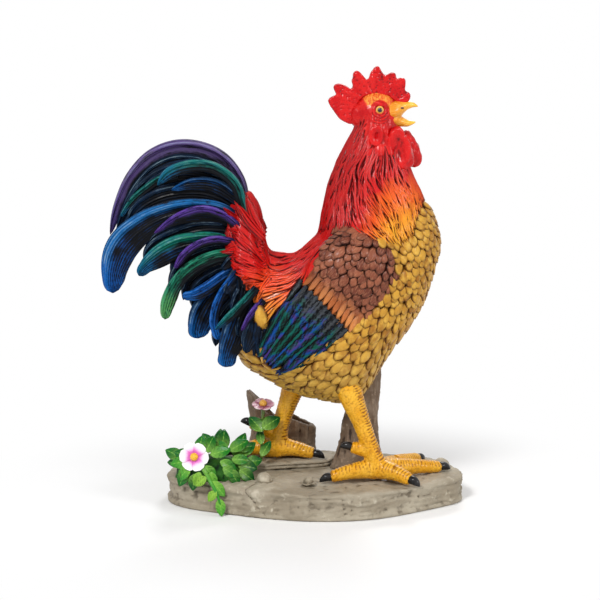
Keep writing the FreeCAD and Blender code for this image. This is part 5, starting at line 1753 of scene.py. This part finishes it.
def make_flower(name, slot, button_colour, stops):
    facing = FLOWER_FACING[name].normalized()
    low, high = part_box(f"{name}_flower_petals")
    centre = (low + high) / 2
    radius = (high.x - low.x) / 2
    across = facing.orthogonal().normalized()
    petals = Rings()
    for index in range(PETAL_COUNT):
        spoke = Matrix.Rotation(2 * math.pi * (index + 0.15) / PETAL_COUNT, 3, facing) @ across
        lifted = facing * (0.0004 * (index % 2))
        add_leaf(petals, centre + spoke * (radius * 0.14) + lifted, spoke, facing, radius * 0.88,
                 radius * 0.92, petal_width, 0.5, fold=0.12, curl=-0.10, steps=12)
    piece(petals.made(), f"{name}_painted_petals", slot, petal_paint(f"{name}_petal_paint", *stops),
          f"{name}_flower_petals")
    button = ball(centre + facing * 0.0013, (0.0031, 0.0031, 0.0031), 0.0, 40)
    sculpted(button, lambda place, normal: (0.0004 * noise.noise(place * 1500),
                                            limited(0.6 + noise.noise(place * 1500))))
    low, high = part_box(f"{name}_flower_centre")
    end = Vector((low.x + 0.0016 if name == "rear" else high.x - 0.002, (low.y + high.y) / 2, low.z + 0.002))
    stalk = Rings()
    tube(stalk, ((centre - facing * 0.001, 0.0015), ((centre + end) / 2, 0.0012), (end, 0.0016)), 12, 10)
    whole = joined([stalk.made(), button])
    paint = button_paint(f"{name}_button_paint", centre + facing * 0.0013, button_colour)
    piece(whole, f"{name}_flower_button", "flower_yellow", paint, f"{name}_flower_centre")


make_clump()
make_vine()
make_flower("front", "petal_white", rgb(246, 190, 40),
            ((0.0, rgb(196, 60, 160)), (0.3, rgb(222, 110, 196)), (0.52, rgb(246, 216, 238)),
             (0.7, rgb(248, 246, 244)), (1.0, rgb(250, 250, 246))))
make_flower("rear", "petal_mauve", rgb(214, 160, 60),
            ((0.0, rgb(110, 40, 70)), (0.5, rgb(156, 84, 110)), (0.85, rgb(190, 130, 150)),
             (1.0, rgb(232, 214, 216))))


# The steel rods inside

def steel_paint():
    paint = Paint("steel_paint", Metallic=1.0)
    grain = paint.noise(paint.scaled(paint.place(), 1, 1, 0.05), 900, 3.0)
    colour = paint.mix(grain, rgb(150, 152, 156), rgb(190, 192, 196))
    return paint.done(Base_Color=colour, Roughness=paint.roughness(grain, 0.3, 0.5),
                      Normal=paint.bump(grain, 0.0002, 0.3))


steel = steel_paint()
for node in ("right_leg_rod", "left_leg_rod", "tail_dowel"):
    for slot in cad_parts[node].material_slots:
        slot.material = steel


# Stage, light and camera

def make_stage():
    bpy.ops.mesh.primitive_plane_add(size=8, location=(0, 0, 0))
    floor = bpy.context.object
    floor.name = "floor"
    paint = Paint("floor_white", Roughness=0.9)
    away = paint.gap(paint.place(), (0, 0, 0), 1, 1, 1)
    camera_ray, glossy_ray, clear_ray = (paint.node("ShaderNodeLightPath", {}, {}, f"Is {kind} Ray")
                                         for kind in ("Camera", "Glossy", "Transmission"))
    shine = paint.node("ShaderNodeEmission", {}, {"Color": (1, 1, 1, 1), "Strength": 1.0})
    factor = paint.ease(away, 0.13, 0.30) * (camera_ray + glossy_ray + clear_ray)
    paint.shader.inputs["Base Color"].default_value = (0.93, 0.93, 0.93, 1)
    matt = Value(paint, paint.shader.outputs[0])
    mixed = paint.node("ShaderNodeMixShader", {}, {0: factor, 1: matt, 2: shine})
    paint.tree.links.new(mixed.socket, paint.tree.nodes["Material Output"].inputs["Surface"])
    floor.data.materials.append(paint.material)


def make_world():
    """White for the camera and in reflections, and weaker plain light on everything else."""
    world = bpy.data.worlds.new("studio")
    bpy.context.scene.world = world
    world.use_nodes = True
    tree = world.node_tree
    tree.nodes.clear()
    output = tree.nodes.new("ShaderNodeOutputWorld")
    mixed = tree.nodes.new("ShaderNodeMixShader")
    path = tree.nodes.new("ShaderNodeLightPath")
    for socket, strength in ((1, 0.38), (2, 1.0)):
        background = tree.nodes.new("ShaderNodeBackground")
        background.inputs["Color"].default_value = (1, 1, 1, 1)
        background.inputs["Strength"].default_value = strength
        tree.links.new(background.outputs[0], mixed.inputs[socket])
    shown = path.outputs["Is Camera Ray"]
    for ray in ("Is Glossy Ray", "Is Transmission Ray"):
        both = tree.nodes.new("ShaderNodeMath")
        tree.links.new(shown, both.inputs[0])
        tree.links.new(path.outputs[ray], both.inputs[1])
        shown = both.outputs[0]
    tree.links.new(shown, mixed.inputs[0])
    tree.links.new(mixed.outputs[0], output.inputs["Surface"])


def make_lamp(name, place, target, size, watts):
    lamp = bpy.data.lights.new(name, "AREA")
    lamp.size = size
    lamp.energy = watts
    obj = bpy.data.objects.new(name, lamp)
    bpy.context.scene.collection.objects.link(obj)
    obj.location = place
    obj.rotation_euler = (Vector(target) - Vector(place)).to_track_quat("-Z", "Y").to_euler()


def make_camera():
    """A long lens that looks down a little, as in the photo."""
    target = Vector((-0.0116, 0.0, 0.164))
    distance = 1.33
    rise = math.radians(10)
    camera = bpy.data.cameras.new("camera")
    camera.lens = 100
    camera.sensor_width = 36
    obj = bpy.data.objects.new("camera", camera)
    bpy.context.scene.collection.objects.link(obj)
    obj.location = target + Vector((0, -math.cos(rise), math.sin(rise))) * distance
    obj.rotation_euler = (target - obj.location).to_track_quat("-Z", "Y").to_euler()
    bpy.context.scene.camera = obj


make_stage()
make_world()
make_lamp("key", (-0.55, -1.15, 1.25), (0, 0, 0.15), size=0.38, watts=19)
make_lamp("fill", (1.2, -0.9, 0.8), (0, 0, 0.15), size=0.42, watts=8)
make_lamp("rim", (0.3, 1.2, 1.2), (0, 0, 0.2), size=0.5, watts=8)
make_camera()
bpy.context.scene.view_settings.view_transform = "Standard"
